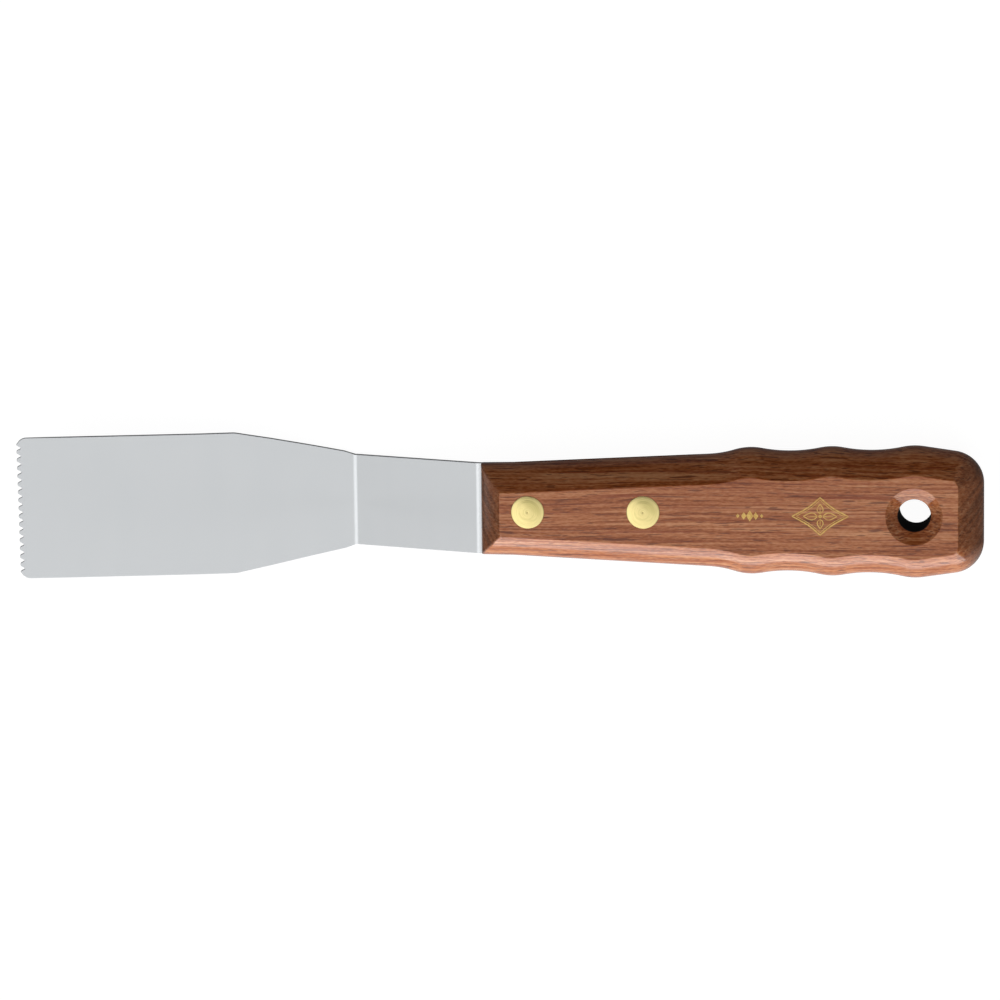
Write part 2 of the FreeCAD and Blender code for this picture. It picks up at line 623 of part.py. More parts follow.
# Rivet holes: drilled for the hollow shank, counterbored for the heads on both faces.
CB = "%shead_dia / 2 + %shead_gap" % (S, S)
cb = dim("head_dia") / 2 + dim("head_gap")
sh = dim("shank_hole_dia") / 2
for tag, key in (("rivet_hole_a", "rivet_a_x"), ("rivet_hole_b", "rivet_b_x")):
    before = handle.Tip.Shape.Volume
    cut = turned_cut(handle, tag, dim(key), S + key, [
        (0.0, "", -T2h - over, HT + " + 0.5"),
        (cb, CB, -T2h - over, HT + " + 0.5"),
        (cb, CB, -T2h + dim("head_thk"), HT + " - " + S + "head_thk"),
        (sh, S + "shank_hole_dia / 2", -T2h + dim("head_thk"), HT + " - " + S + "head_thk"),
        (sh, S + "shank_hole_dia / 2", T2h - dim("head_thk"), HT + " - " + S + "head_thk"),
        (cb, CB, T2h - dim("head_thk"), HT + " - " + S + "head_thk"),
        (cb, CB, T2h + over, HT + " + 0.5"),
        (0.0, "", T2h + over, HT + " + 0.5"),
    ])
    gone = before - cut.Shape.Volume
    want = 2 * math.pi * cb * cb * dim("head_thk") + math.pi * sh * sh * (2 * T2h - 2 * dim("head_thk") - dim("kerf_gap"))
    if abs(gone - want) > 1.0:
        raise RuntimeError("%s: %.1f, wanted %.1f" % (tag, gone, want))


# ================================================================ cutler's rivets
def head_profile(sk, up, inner_pts, close_pt):
    """Half section of one rivet half: domed head with a centre mark, then inner_pts down to the axis."""
    sg = 1.0 if up else -1.0
    hr, dome, pip_r, pip_d = dim("head_dia") / 2, dim("head_dome"), 0.45, 0.2
    R = (hr * hr + dome * dome) / (2 * dome)
    zc = T2h + dome - R
    z_pip = zc + math.sqrt(R * R - pip_r * pip_r)
    rim = Vector(hr, sg * T2h, 0)
    start = Vector(pip_r, sg * z_pip, 0)
    a_rim = math.atan2(sg * (T2h - zc), hr)
    a_st = math.atan2(sg * (z_pip - zc), pip_r)
    lo_a, hi_a = min(a_rim, a_st), max(a_rim, a_st)
    arc = sk.addGeometry(Part.ArcOfCircle(Part.Circle(Vector(0, sg * zc, 0), Vector(0, 0, 1), R), lo_a, hi_a), False)
    rim_end, st_end = (1, 2) if up else (2, 1)
    sk.addConstraint(Sketcher.Constraint("PointOnObject", arc, 3, -2))
    RX = "((%shead_dia / 2) ^ 2 + %shead_dome ^ 2) / (2 * %shead_dome)" % (S, S, S)
    bind(sk, "Radius", (arc,), R, RX)
    signed_bind(sk, "DistanceX", arc, rim_end, hr, S + "head_dia / 2")
    signed_bind(sk, "DistanceY", arc, rim_end, sg * T2h, HT)
    signed_bind(sk, "DistanceX", arc, st_end, pip_r, "0.45")
    chain = [(rim, None)] + [(Vector(x, z, 0), (xe, ze)) for x, xe, z, ze in inner_pts] + [
        (Vector(0, close_pt[0], 0), ("", close_pt[1])), (Vector(0, sg * (T2h + dome - pip_d), 0), ("", HT + " + " + S + "head_dome - 0.2")), (start, None)]
    ids = []
    for (a, _), (b, _) in zip(chain[:-1], chain[1:]):
        ids.append(sk.addGeometry(Part.LineSegment(a, b), False))
    sk.addConstraint(Sketcher.Constraint("Coincident", arc, rim_end, ids[0], 1))
    sk.addConstraint(Sketcher.Constraint("Coincident", arc, st_end, ids[-1], 2))
    for a, b in zip(ids[:-1], ids[1:]):
        sk.addConstraint(Sketcher.Constraint("Coincident", a, 2, b, 1))
    for k, (pt, ex) in enumerate(chain):
        if ex is None:
            continue
        signed_bind(sk, "DistanceX", ids[k], 1, pt.x, ex[0])
        signed_bind(sk, "DistanceY", ids[k], 1, pt.y, ex[1])
    check_solved(sk)


HIN = "%s - %shead_thk" % (HT, S)
hin = T2h - dim("head_thk")
studs, tubes = [], []
for where in ("front", "rear"):
    b = new_body("rivet_%s_stud" % where)
    sk = new_sketch(b, "stud_%s_view" % where, "XZ_Plane")
    zs = -hin + dim("stud_end_gap")
    head_profile(sk, True, [
        (dim("head_dia") / 2, S + "head_dia / 2", hin, HIN),
        (dim("stud_dia") / 2, S + "stud_dia / 2", hin, HIN),
        (dim("stud_dia") / 2, S + "stud_dia / 2", zs, HIN + " - " + S + "stud_end_gap"),
    ], (zs, HIN + " - " + S + "stud_end_gap"))
    rev = b.newObject("PartDesign::Revolution", "stud_%s" % where)
    rev.Profile = sk
    rev.ReferenceAxis = (sk, ["V_Axis"])
    rev.Angle = 360
    b.Tip = rev
    studs.append(b)

    b = new_body("rivet_%s_tube" % where)
    sk = new_sketch(b, "tube_%s_view" % where, "XZ_Plane")
    zt = hin - dim("tube_end_gap")
    head_profile(sk, False, [
        (dim("head_dia") / 2, S + "head_dia / 2", -hin, HIN),
        (dim("tube_dia") / 2, S + "tube_dia / 2", -hin, HIN),
        (dim("tube_dia") / 2, S + "tube_dia / 2", zt, HIN + " - " + S + "tube_end_gap"),
        (dim("tube_bore") / 2, S + "tube_bore / 2", zt, HIN + " - " + S + "tube_end_gap"),
        (dim("tube_bore") / 2, S + "tube_bore / 2", -hin, HIN),
    ], (-hin, HIN))
    rev = b.newObject("PartDesign::Revolution", "tube_%s" % where)
    rev.Profile = sk
    rev.ReferenceAxis = (sk, ["V_Axis"])
    rev.Angle = 360
    b.Tip = rev
    tubes.append(b)
doc.recompute()

# ================================================================ rest pose
# The knife lies on the outside of its heel bend and on the tail end of the handle's underside.
u0 = (mid[1] - mid[0]).normalize()
u1 = (mid[2] - mid[1]).normalize()
n0, n1 = Vector(-u0.y, u0.x, 0), Vector(-u1.y, u1.x, 0)
bis = (n0 + n1).normalize()
heel_c = mid[1] + bis * (dim("bend_rad") / bis.dot(n0))
heel_r = dim("bend_rad") + half_t
AX = (dim("handle_len") - dim("bevel")) - heel_c.x
BZ = -T2h - heel_c.y
phi = math.asin(-heel_r / math.hypot(AX, BZ)) - math.atan2(BZ, AX)
turn = Rotation(Vector(0, 1, 0), -math.degrees(phi))
bodies = [(blade, 0.0), (handle, 0.0), (studs[0], dim("rivet_a_x")), (tubes[0], dim("rivet_a_x")), (studs[1], dim("rivet_b_x")), (tubes[1], dim("rivet_b_x"))]
for b, x in bodies:
    b.Placement = Placement(turn.multVec(Vector(x, 0, 0)), turn)
doc.recompute()
boxes = [b.Shape.optimalBoundingBox(False) for b, _ in bodies]
shift = Vector(-(min(k.XMin for k in boxes) + max(k.XMax for k in boxes)) / 2.0, 0, -min(k.ZMin for k in boxes))
for b, x in bodies:
    b.Placement = Placement(turn.multVec(Vector(x, 0, 0)) + shift, turn)
doc.recompute()

# ================================================================ checks and export
for o in doc.Objects:
    for st in o.State:
        if st in ("Invalid", "Error"):
            raise RuntimeError("%s is %s" % (o.Name, st))
for b, _ in bodies:
    if b.Shape.isNull() or not b.Shape.isValid() or len(b.Shape.Solids) != 1:
        raise RuntimeError("bad shape: " + b.Label)
for i, (a, _) in enumerate(bodies):
    for b, _ in bodies[i + 1:]:
        both = a.Shape.common(b.Shape)
        if both.Volume > 1e-3:
            raise RuntimeError("%s and %s overlap by %.4f mm3" % (a.Label, b.Label, both.Volume))
os.makedirs("parts", exist_ok=True)
for b, _ in bodies:
    b.Shape.exportStep("parts/%s.step" % b.Label)
    k = b.Shape.optimalBoundingBox(False)
    print("%-18s %8.1f mm3  x %7.2f %7.2f  y %6.2f %6.2f  z %6.2f %6.2f" % (b.Label, b.Shape.Volume, k.XMin, k.XMax, k.YMin, k.YMax, k.ZMin, k.ZMax))
print("rest turn %.4f deg, shift %.4f 0 %.4f" % (math.degrees(phi), shift.x, shift.z))
hc = turn.multVec(Vector(dim("hole_x"), 0, 0)) + shift
ha = turn.multVec(Vector(0, 0, 1))
print("hole centre %.5f %.5f %.5f axis %.7f %.7f %.7f straight %.2f" % (hc.x, hc.y, hc.z, ha.x, ha.y, ha.z, 2 * (T2h - dim("sink_depth"))))
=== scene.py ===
import math

import bpy
import numpy as np
from mathutils import Matrix, Vector
from mathutils.geometry import delaunay_2d_cdt


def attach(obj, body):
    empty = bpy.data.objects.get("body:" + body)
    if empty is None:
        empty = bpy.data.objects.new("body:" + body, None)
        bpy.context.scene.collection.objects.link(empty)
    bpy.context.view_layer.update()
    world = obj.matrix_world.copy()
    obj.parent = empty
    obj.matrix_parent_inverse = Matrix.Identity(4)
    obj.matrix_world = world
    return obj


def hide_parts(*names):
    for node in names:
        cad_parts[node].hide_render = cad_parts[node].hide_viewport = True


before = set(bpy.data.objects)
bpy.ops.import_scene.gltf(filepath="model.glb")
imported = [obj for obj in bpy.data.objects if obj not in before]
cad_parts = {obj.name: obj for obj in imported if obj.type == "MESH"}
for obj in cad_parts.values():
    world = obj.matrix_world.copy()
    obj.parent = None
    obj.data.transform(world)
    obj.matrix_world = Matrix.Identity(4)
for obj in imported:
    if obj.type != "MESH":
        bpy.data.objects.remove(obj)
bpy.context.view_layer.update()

scene = bpy.context.scene

# ------------------------------------------------------------------ own frame to rest frame
# Dimensions below are millimetres in the knife's own frame: handle front end at X 0, tail
# towards +X, middle plane Z 0.  The knife lies turned a little about Y, then shifted.
PHI = math.radians(1.1273)
SHIFT = (-4.5269, 0.0, 10.2944)
CP, SP = math.cos(PHI), math.sin(PHI)


def place(v):
    """Own frame, mm, to rest frame, m."""
    v = np.asarray(v, float)
    out = np.empty_like(v)
    out[:, 0] = (v[:, 0] * CP + v[:, 2] * SP + SHIFT[0]) * 1e-3
    out[:, 1] = (v[:, 1] + SHIFT[1]) * 1e-3
    out[:, 2] = (-v[:, 0] * SP + v[:, 2] * CP + SHIFT[2]) * 1e-3
    return out


def turn(n):
    n = np.asarray(n, float)
    out = np.empty_like(n)
    out[:, 0] = n[:, 0] * CP + n[:, 2] * SP
    out[:, 1] = n[:, 1]
    out[:, 2] = -n[:, 0] * SP + n[:, 2] * CP
    return out


def unit(v):
    v = np.asarray(v, float)
    return v / np.linalg.norm(v)


class Builder:
    """Vertices plus faces that carry the normal wanted at each of their corners."""

    def __init__(self):
        self.v, self.f, self.n = [], [], []
        self.m, self.mat = [], 0

    def vert(self, x, y, z):
        self.v.append((float(x), float(y), float(z)))
        return len(self.v) - 1

    def face(self, ids, normals):
        ids, normals = list(ids), [tuple(map(float, q)) for q in normals]
        keep = [k for k in range(len(ids)) if ids[k] != ids[k - 1]]
        ids, normals = [ids[k] for k in keep], [normals[k] for k in keep]
        if len(set(ids)) < 3:
            return
        p = np.array([self.v[i] for i in ids])
        c = p.mean(0)
        g = sum(np.cross(p[k - 1] - c, p[k] - c) for k in range(len(p)))
        if np.dot(g, np.sum(normals, axis=0)) < 0:
            ids.reverse()
            normals.reverse()
        self.f.append(tuple(ids))
        self.n.append(normals)
        self.m.append(self.mat)

    def band(self, a, na, b, nb, closed=True):
        """Quads between two rows of vertices of the same length."""
        m = len(a)
        for k in range(m if closed else m - 1):
            j = (k + 1) % m
            self.face((a[k], a[j], b[j], b[k]), (na[k], na[j], nb[j], nb[k]))

    def sheet(self, loops, inner, z_of, normal, extra_edges=()):
        """Flat or lifted surface inside loops[0] and outside the other loops.
        loops hold vertex ids; inner holds loose vertex ids; z_of isn't needed as ids carry positions."""
        ids, edges, polys = [], [], []
        for loop in loops:
            base = len(ids)
            ids += loop
            edges += [(base + k, base + (k + 1) % len(loop)) for k in range(len(loop))]
            polys.append(np.array([z_of(i) for i in loop]))
        ids += list(inner)
        where = {i: k for k, i in enumerate(ids)}
        for a, b in extra_edges:
            edges.append((where[a], where[b]))
        co = [Vector(z_of(i)) for i in ids]
        out_v, _, out_f, orig, _, _ = delaunay_2d_cdt(co, edges, [], 0, 1e-6)
        if len(out_v) != len(co):
            raise RuntimeError("outline crosses itself: %d %d" % (len(out_v), len(co)))
        tris = []
        for tri in out_f:
            mine = [orig[k][0] for k in tri]
            c = np.mean([co[k][:] for k in mine], axis=0)
            if not inside(c, polys[0]) or any(inside(c, q) for q in polys[1:]):
                continue
            tris.append(mine)
        # three points in line make a sliver: inside the outline it swaps diagonals
        # with its neighbour, and just outside it is dropped
        for t in [t for _ in range(3) for t in range(len(tris))]:
            for k in range(3 if tris[t] else 0):
                a, b, c = tris[t][k], tris[t][k - 2], tris[t][k - 1]
                run, off = co[b] - co[a], co[c] - co[a]
                far = run.length
                along = run.dot(off) / far
                if abs(run.cross(off)) / far > 5e-4 or not 0.0 < along < far:
                    continue
                n = next((j for j, q in enumerate(tris) if j != t and a in q and b in q), None)
                if n is None:
                    tris[t] = []
                    break
                d = next(q for q in tris[n] if q not in (a, b))
                tris[n], tris[t] = [a, c, d], [c, b, d]
                break
        for mine in filter(None, tris):
            self.face([ids[k] for k in mine], [normal(ids[k]) for k in mine])

    def make(self, name, *materials):
        me = bpy.data.meshes.new(name)
        me.from_pydata([tuple(p) for p in place(np.array(self.v))], [], self.f)
        me.polygons.foreach_set("use_smooth", [True] * len(me.polygons))
        for material_ in materials:
            me.materials.append(material_)
        me.polygons.foreach_set("material_index", self.m)
        flat = np.array([q for face in self.n for q in face], float)
        flat /= np.maximum(np.linalg.norm(flat, axis=1, keepdims=True), 1e-9)
        me.normals_split_custom_set([tuple(q) for q in turn(flat)])
        me.update()
        ob = bpy.data.objects.new(name, me)
        scene.collection.objects.link(ob)
        return ob


def inside(p, poly):
    x, y = p[0], p[1]
    xs, ys = poly[:, 0], poly[:, 1]
    xn, yn = np.roll(xs, -1), np.roll(ys, -1)
    cross = (ys > y) != (yn > y)
    with np.errstate(divide="ignore", invalid="ignore"):
        at = xs + (y - ys) / np.where(yn == ys, 1, yn - ys) * (xn - xs)
    return bool(np.count_nonzero(cross & (x < at)) % 2)


# ------------------------------------------------------------------ node helpers
def material(name):
    m = bpy.data.materials.new(name)
    m.use_nodes = True
    t = m.node_tree
    t.nodes.clear()
    out = t.nodes.new("ShaderNodeOutputMaterial")
    bsdf = t.nodes.new("ShaderNodeBsdfPrincipled")
    t.links.new(bsdf.outputs[0], out.inputs[0])
    return m, t, bsdf


class Nodes:
    def __init__(self, tree):
        self.t = tree

    def new(self, kind, **props):
        n = self.t.nodes.new(kind)
        for k, v in props.items():
            setattr(n, k, v)
        return n

    def link(self, a, b):
        self.t.links.new(a, b)
        return b

    def put(self, socket, value):
        if isinstance(value, bpy.types.NodeSocket):
            self.t.links.new(value, socket)
        else:
            socket.default_value = value

    def math(self, op, a, b=0.0, c=0.0, clamp=False):
        n = self.new("ShaderNodeMath", operation=op, use_clamp=clamp)
        self.put(n.inputs[0], a)
        self.put(n.inputs[1], b)
        self.put(n.inputs[2], c)
        return n.outputs[0]

    def vmath(self, op, a, b=None):
        n = self.new("ShaderNodeVectorMath", operation=op)
        self.put(n.inputs[0], a)
        if b is not None:
            self.put(n.inputs[1], b)
        return n.outputs["Value"] if op in ("LENGTH", "DOT_PRODUCT", "DISTANCE") else n.outputs[0]

    def object(self):
        return self.new("ShaderNodeTexCoord").outputs["Object"]

    def split(self, vec):
        n = self.new("ShaderNodeSeparateXYZ")
        self.put(n.inputs[0], vec)
        return n.outputs[0], n.outputs[1], n.outputs[2]

    def join(self, x, y, z):
        n = self.new("ShaderNodeCombineXYZ")
        for k, v in enumerate((x, y, z)):
            self.put(n.inputs[k], v)
        return n.outputs[0]

    def noise(self, vec, scale=1.0, detail=2.0, rough=0.5, distortion=0.0):
        n = self.new("ShaderNodeTexNoise")
        self.put(n.inputs["Vector"], vec)
        n.inputs["Scale"].default_value = scale
        n.inputs["Detail"].default_value = detail
        n.inputs["Roughness"].default_value = rough
        n.inputs["Distortion"].default_value = distortion
        return n.outputs["Fac"]

    def span(self, v, a, b, lo=0.0, hi=1.0, smooth=True):
        n = self.new("ShaderNodeMapRange", interpolation_type="SMOOTHSTEP" if smooth else "LINEAR")
        self.put(n.inputs["Value"], v)
        for k, q in (("From Min", a), ("From Max", b), ("To Min", lo), ("To Max", hi)):
            self.put(n.inputs[k], q)
        return n.outputs["Result"]

    def ramp(self, v, stops, mode="LINEAR"):
        n = self.new("ShaderNodeValToRGB")
        n.color_ramp.interpolation = mode
        e = n.color_ramp.elements
        while len(e) < len(stops):
            e.new(0.5)
        for k, (p, c) in enumerate(stops):
            e[k].position = p
            e[k].color = (*c, 1.0)
        self.put(n.inputs[0], v)
        return n.outputs[0]

    def mix(self, fac, a, b, mode="MIX"):
        n = self.new("ShaderNodeMix", data_type="RGBA", blend_type=mode)
        self.put(n.inputs[0], fac)
        for s, v in ((n.inputs[6], a), (n.inputs[7], b)):
            if isinstance(v, (tuple, list)) and len(v) == 3:
                v = (*v, 1.0)
            self.put(s, v)
        return n.outputs[2]

    def bump(self, height, strength, distance, normal=None):
        n = self.new("ShaderNodeBump")
        n.inputs["Strength"].default_value = strength
        n.inputs["Distance"].default_value = distance
        self.put(n.inputs["Height"], height)
        if normal is not None:
            self.put(n.inputs["Normal"], normal)
        return n.outputs[0]


def lin(r, g, b):
    """8-bit display colour to scene-linear."""
    return tuple(((c / 255 + 0.055) / 1.055) ** 2.4 if c > 10 else c / 255 / 12.92 for c in (r, g, b))


# ------------------------------------------------------------------ materials
def wood_material():
    m, t, b = material("lacquered_hardwood")
    N = Nodes(t)
    mm = N.vmath("SCALE", N.object())
    mm.node.inputs["Scale"].default_value = 1000.0
    x, y, z = N.split(mm)
    # the grain runs along X and drifts slowly sideways
    drift = N.noise(N.join(N.math("MULTIPLY", x, 0.011), N.math("MULTIPLY", y, 0.018), N.math("MULTIPLY", z, 0.02)), 1.0, 1.0, 0.5)
    drift2 = N.noise(N.join(N.math("MULTIPLY", x, 0.045), N.math("MULTIPLY", y, 0.10), N.math("ADD", N.math("MULTIPLY", z, 0.09), 7.3)), 1.0, 1.0, 0.5)
    yy = N.math("ADD", y, N.math("MULTIPLY", N.math("SUBTRACT", drift, 0.5), 4.5))
    yy = N.math("ADD", yy, N.math("MULTIPLY", N.math("SUBTRACT", drift2, 0.5), 0.9))
    yy = N.math("ADD", yy, N.math("MULTIPLY", x, -0.010))
    # u runs across the growth layers, w along them
    u = N.math("ADD", N.math("MULTIPLY", yy, 0.985), N.math("MULTIPLY", z, 0.17))
    w = N.math("SUBTRACT", N.math("MULTIPLY", z, 0.985), N.math("MULTIPLY", yy, 0.17))

    def grain(along, across, off, detail, rough):
        return N.noise(N.join(N.math("MULTIPLY", x, 1.0 / along), N.math("MULTIPLY", u, 1.0 / across),
                              N.math("ADD", N.math("MULTIPLY", w, 0.75 / across), off)), 1.0, detail, rough)

    layers = ((200.0, 2.4, 0.0, 1.0, 0.16), (150.0, 0.92, 11.0, 1.0, 0.32), (85.0, 0.48, 23.0, 1.0, 0.53),
              (10.0, 0.38, 31.0, 1.0, 0.16), (1.3, 0.30, 37.0, 1.0, 0.36))
    tone = None
    for along, across, off, detail, share in layers:
        part = N.math("MULTIPLY", N.math("SUBTRACT", grain(along, across, off, detail, 0.5), 0.5), share)
        tone = part if tone is None else N.math("ADD", tone, part)
    tone = N.math("ADD", tone, 0.5)
    fibre = grain(10.0, 0.40, 53.0, 1.0, 0.5)
    pore = grain(6.5, 0.40, 47.0, 0.0, 0.5)
    pore2 = grain(3.0, 0.34, 59.0, 0.0, 0.5)
    base = N.ramp(tone, [
        (0.28, lin(130, 60, 18)),
        (0.39, lin(160, 85, 38)),
        (0.50, lin(185, 111, 66)),
        (0.61, lin(201, 133, 88)),
        (0.74, lin(217, 155, 110)),
    ])
    streak = N.span(grain(120.0, 0.60, 83.0, 1.0, 0.5), 0.57, 0.69)
    base = N.mix(N.math("MULTIPLY", streak, 0.55), base, lin(140, 58, 26))
    pores = N.math("MAXIMUM", N.span(pore, 0.66, 0.75), N.math("MULTIPLY", N.span(pore2, 0.67, 0.77), 0.8))
    base = N.mix(N.math("MULTIPLY", pores, 0.72), base, lin(92, 36, 10))
    # faces turned towards ±X are darkened and greyed: partly the end grain's own darker tone, partly painted shade
    # and a painted grey reflection on the front and tail bevels
    nx = N.math("ABSOLUTE", N.split(N.new("ShaderNodeNewGeometry").outputs["Normal"])[0])
    end = N.span(nx, 0.25, 0.8)
    bow = N.math("MULTIPLY", N.math("MULTIPLY", w, w), 0.035)
    rays = N.span(N.noise(N.join(N.math("MULTIPLY", x, 0.06), N.math("MULTIPLY", N.math("ADD", u, bow), 0.62), N.math("MULTIPLY", w, 0.05)), 1.0, 2.0, 0.6), 0.34, 0.60)
    # bluish-grey multiplier: painted shade and painted grey reflection on the end faces, over the ring lines
    dark = N.mix(rays, (0.37, 0.42, 0.53), (0.62, 0.70, 0.87))
    base = N.mix(end, base, N.mix(1.0, N.mix(0.55, base, lin(166, 96, 54)), dark, "MULTIPLY"))
    N.put(b.inputs["Base Color"], base)
    rough = N.math("ADD", 0.40, N.math("MULTIPLY", fibre, 0.16))
    N.put(b.inputs["Roughness"], N.math("ADD", rough, N.math("MULTIPLY", pores, 0.15)))
    b.inputs["Specular IOR Level"].default_value = 0.0
    b.inputs["Coat Weight"].default_value = 1.0
    b.inputs["Coat Roughness"].default_value = 0.09
    b.inputs["Coat IOR"].default_value = 1.55
    wave = N.noise(N.join(N.math("MULTIPLY", x, 0.16), N.math("MULTIPLY", y, 0.45), N.math("MULTIPLY", z, 0.45)), 1.0, 2.0, 0.5)
    h = N.math("ADD", N.math("MULTIPLY", fibre, 0.35), N.math("MULTIPLY", wave, 0.9))
    h = N.math("SUBTRACT", h, N.math("MULTIPLY", pores, 0.8))
    skin = N.bump(h, 0.35, 0.00006)
    N.put(b.inputs["Normal"], skin)
    N.put(b.inputs["Coat Normal"], N.bump(h, 0.22, 0.00005))
    return m


def steel_material():
    m, t, b = material("satin_spring_steel")
    N = Nodes(t)
    mm = N.vmath("SCALE", N.object())
    mm.node.inputs["Scale"].default_value = 1000.0
    x, y, z = N.split(mm)
    lines = N.noise(N.join(N.math("MULTIPLY", x, 0.05), N.math("MULTIPLY", y, 9.0), N.math("MULTIPLY", z, 9.0)), 1.0, 3.0, 0.6)
    cloud = N.noise(N.join(N.math("MULTIPLY", x, 0.03), N.math("MULTIPLY", y, 0.05), z), 1.0, 3.0, 0.55)
    speck = N.noise(mm, 1.1, 3.0, 0.6)
    col = N.mix(cloud, (0.712, 0.735, 0.753), (0.742, 0.762, 0.778))
    col = N.mix(N.math("MULTIPLY", N.span(lines, 0.45, 0.75), 0.12), col, (0.61, 0.63, 0.65))
    N.put(b.inputs["Base Color"], col)
    b.inputs["Metallic"].default_value = 1.0
    r = N.math("ADD", 0.19, N.math("MULTIPLY", lines, 0.07))
    N.put(b.inputs["Roughness"], N.math("ADD", r, N.math("MULTIPLY", speck, 0.05)))
    b.inputs["Anisotropic"].default_value = 0.25
    h = N.math("ADD", N.math("MULTIPLY", lines, 0.6), N.math("MULTIPLY", speck, 0.4))
    N.put(b.inputs["Normal"], N.bump(h, 0.05, 0.00002))
    return m


def brass_material(name, cx, cy):
    m, t, b = material(name)
    N = Nodes(t)
    mm = N.vmath("SCALE", N.object())
    mm.node.inputs["Scale"].default_value = 1000.0
    x, y, z = N.split(mm)
    dx, y = N.math("SUBTRACT", x, cx), N.math("SUBTRACT", y, cy)
    r = N.vmath("LENGTH", N.join(dx, y, 0.0))
    rings = N.noise(N.join(N.math("MULTIPLY", r, 5.5), 0.0, cx), 1.0, 2.0, 0.6)
    arcs = N.noise(N.join(N.math("MULTIPLY", r, 3.2), N.math("MULTIPLY", dx, 0.35), N.math("MULTIPLY", y, 0.35)), 1.0, 2.0, 0.6)
    stain = N.noise(mm, 0.55, 3.0, 0.6)
    col = N.mix(stain, lin(240, 220, 152), lin(255, 238, 166))
    col = N.mix(N.math("MULTIPLY", N.span(arcs, 0.50, 0.72), 0.35), col, lin(208, 196, 124))
    # painted shade: each head is darker on its +X/+Y side, the side turned from the key light
    side_ = N.math("ADD", N.math("MULTIPLY", dx, 0.64), N.math("MULTIPLY", y, 0.77))
    far_side_painted_shade = N.math("MULTIPLY", N.span(side_, 0.4, 2.0), N.span(r, 3.7, 2.6))
    col = N.mix(N.math("MULTIPLY", far_side_painted_shade, 0.55), col, lin(216, 202, 128))
    col = N.mix(N.math("MULTIPLY", N.span(r, 3.70, 3.95), 0.15), col, lin(190, 170, 100))
    col = N.mix(N.math("MULTIPLY", N.span(r, 0.34, 0.10), 0.5), col, lin(150, 120, 64))
    N.put(b.inputs["Base Color"], col)
    b.inputs["Metallic"].default_value = 1.0
    N.put(b.inputs["Roughness"], N.math("ADD", 0.24, N.math("MULTIPLY", arcs, 0.14)))
    N.put(b.inputs["Normal"], N.bump(rings, 0.25, 0.00003))
    return m


def foil_material():
    m, t, b = material("gold_foil")
    N = Nodes(t)
    mm = N.vmath("SCALE", N.object())
    mm.node.inputs["Scale"].default_value = 1000.0
    worn = N.noise(mm, 1.6, 3.0, 0.65)
    N.put(b.inputs["Base Color"], N.mix(N.span(worn, 0.40, 0.66), lin(232, 196, 112), lin(206, 160, 88)))
    b.inputs["Metallic"].default_value = 0.55
    N.put(b.inputs["Roughness"], N.span(worn, 0.3, 0.7, 0.34, 0.52))
    N.put(b.inputs["Normal"], N.bump(worn, 0.15, 0.00002))
    return m


def bore_painted_shade_material():
    """Near-black painted shade for the drilled bore, in place of the shadow inside the hole; no lacquer."""
    m, t, b = material("bore_painted_shade")
    N = Nodes(t)
    mm = N.vmath("SCALE", N.object())
    mm.node.inputs["Scale"].default_value = 1000.0
    x, y, z = N.split(mm)
    cut = N.noise(N.join(N.math("MULTIPLY", x, 0.8), N.math("MULTIPLY", y, 0.8), N.math("MULTIPLY", z, 3.0)), 1.0, 3.0, 0.6)
    N.put(b.inputs["Base Color"], N.mix(cut, (0.004, 0.0032, 0.002), (0.016, 0.011, 0.007)))
    N.put(b.inputs["Roughness"], N.span(cut, 0.3, 0.7, 0.75, 0.9))
    b.inputs["Specular IOR Level"].default_value = 0.08
    N.put(b.inputs["Normal"], N.bump(cut, 0.3, 0.00008))
    return m


# the bore material is painted shade: near-black in place of the shadow in the hole
WOOD, STEEL, FOIL, BORE_SHADE = wood_material(), steel_material(), foil_material(), bore_painted_shade_material()

# ------------------------------------------------------------------ handle
LEN, HALF = 122.25, 8.0
P0, P1 = np.array([0.0, 11.4]), np.array([8.0, 11.5])
RB, RS, RH, RT = 25.0, 14.0, 36.0, 8.0
FA = np.array([54.6, 13.85])
SA, SB, SC = np.array([66.0, 15.65 - RS]), np.array([85.6, 15.97 - RS]), np.array([105.6, 16.3 - RS])
K = np.array([LEN - RT, 7.1])
BEV, BEV_FRONT, BEV_TAIL = 5.8, 5.35, 6.2
KERF_X, KERF_Z = 52.6, 0.6
HOLE_X, HOLE_R, SINK_R, SINK_D = 105.6, 4.0, 6.95, 1.85
RIVETS = ((12.1, 0.48), (40.15, 0.66))  # set a little off the middle line


def hollow(c0, r0, c1, r1, rh):
    d = np.linalg.norm(c1 - c0)
    a, b = r0 + rh, r1 + rh
    q = (d * d + a * a - b * b) / (2 * d)
    u = (c1 - c0) / d
    return c0 + u * q + np.array([-u[1], u[0]]) * math.sqrt(a * a - q * q)


fdir = unit(FA - P1)
fn = np.array([-fdir[1], fdir[0]])
n1 = unit(np.array([-(P1 - P0)[1], (P1 - P0)[0]]))
base = P1 + fn * RB
rel = SA - base
C0 = base + fdir * (rel @ fdir - math.sqrt((RB + RS) ** 2 - (rel @ fn) ** 2))
T0 = C0 - fn * RB
C1, C2 = hollow(SA, RS, SB, RS, RH), hollow(SB, RS, SC, RS, RH)
kc = K - SC
beta, gamma = math.atan2(kc[1], kc[0]), math.acos((RS - RT) / np.linalg.norm(kc))
tn = np.array([math.cos(beta + gamma), math.sin(beta + gamma)])
T6, T7 = SC + tn * RS, K + tn * RT


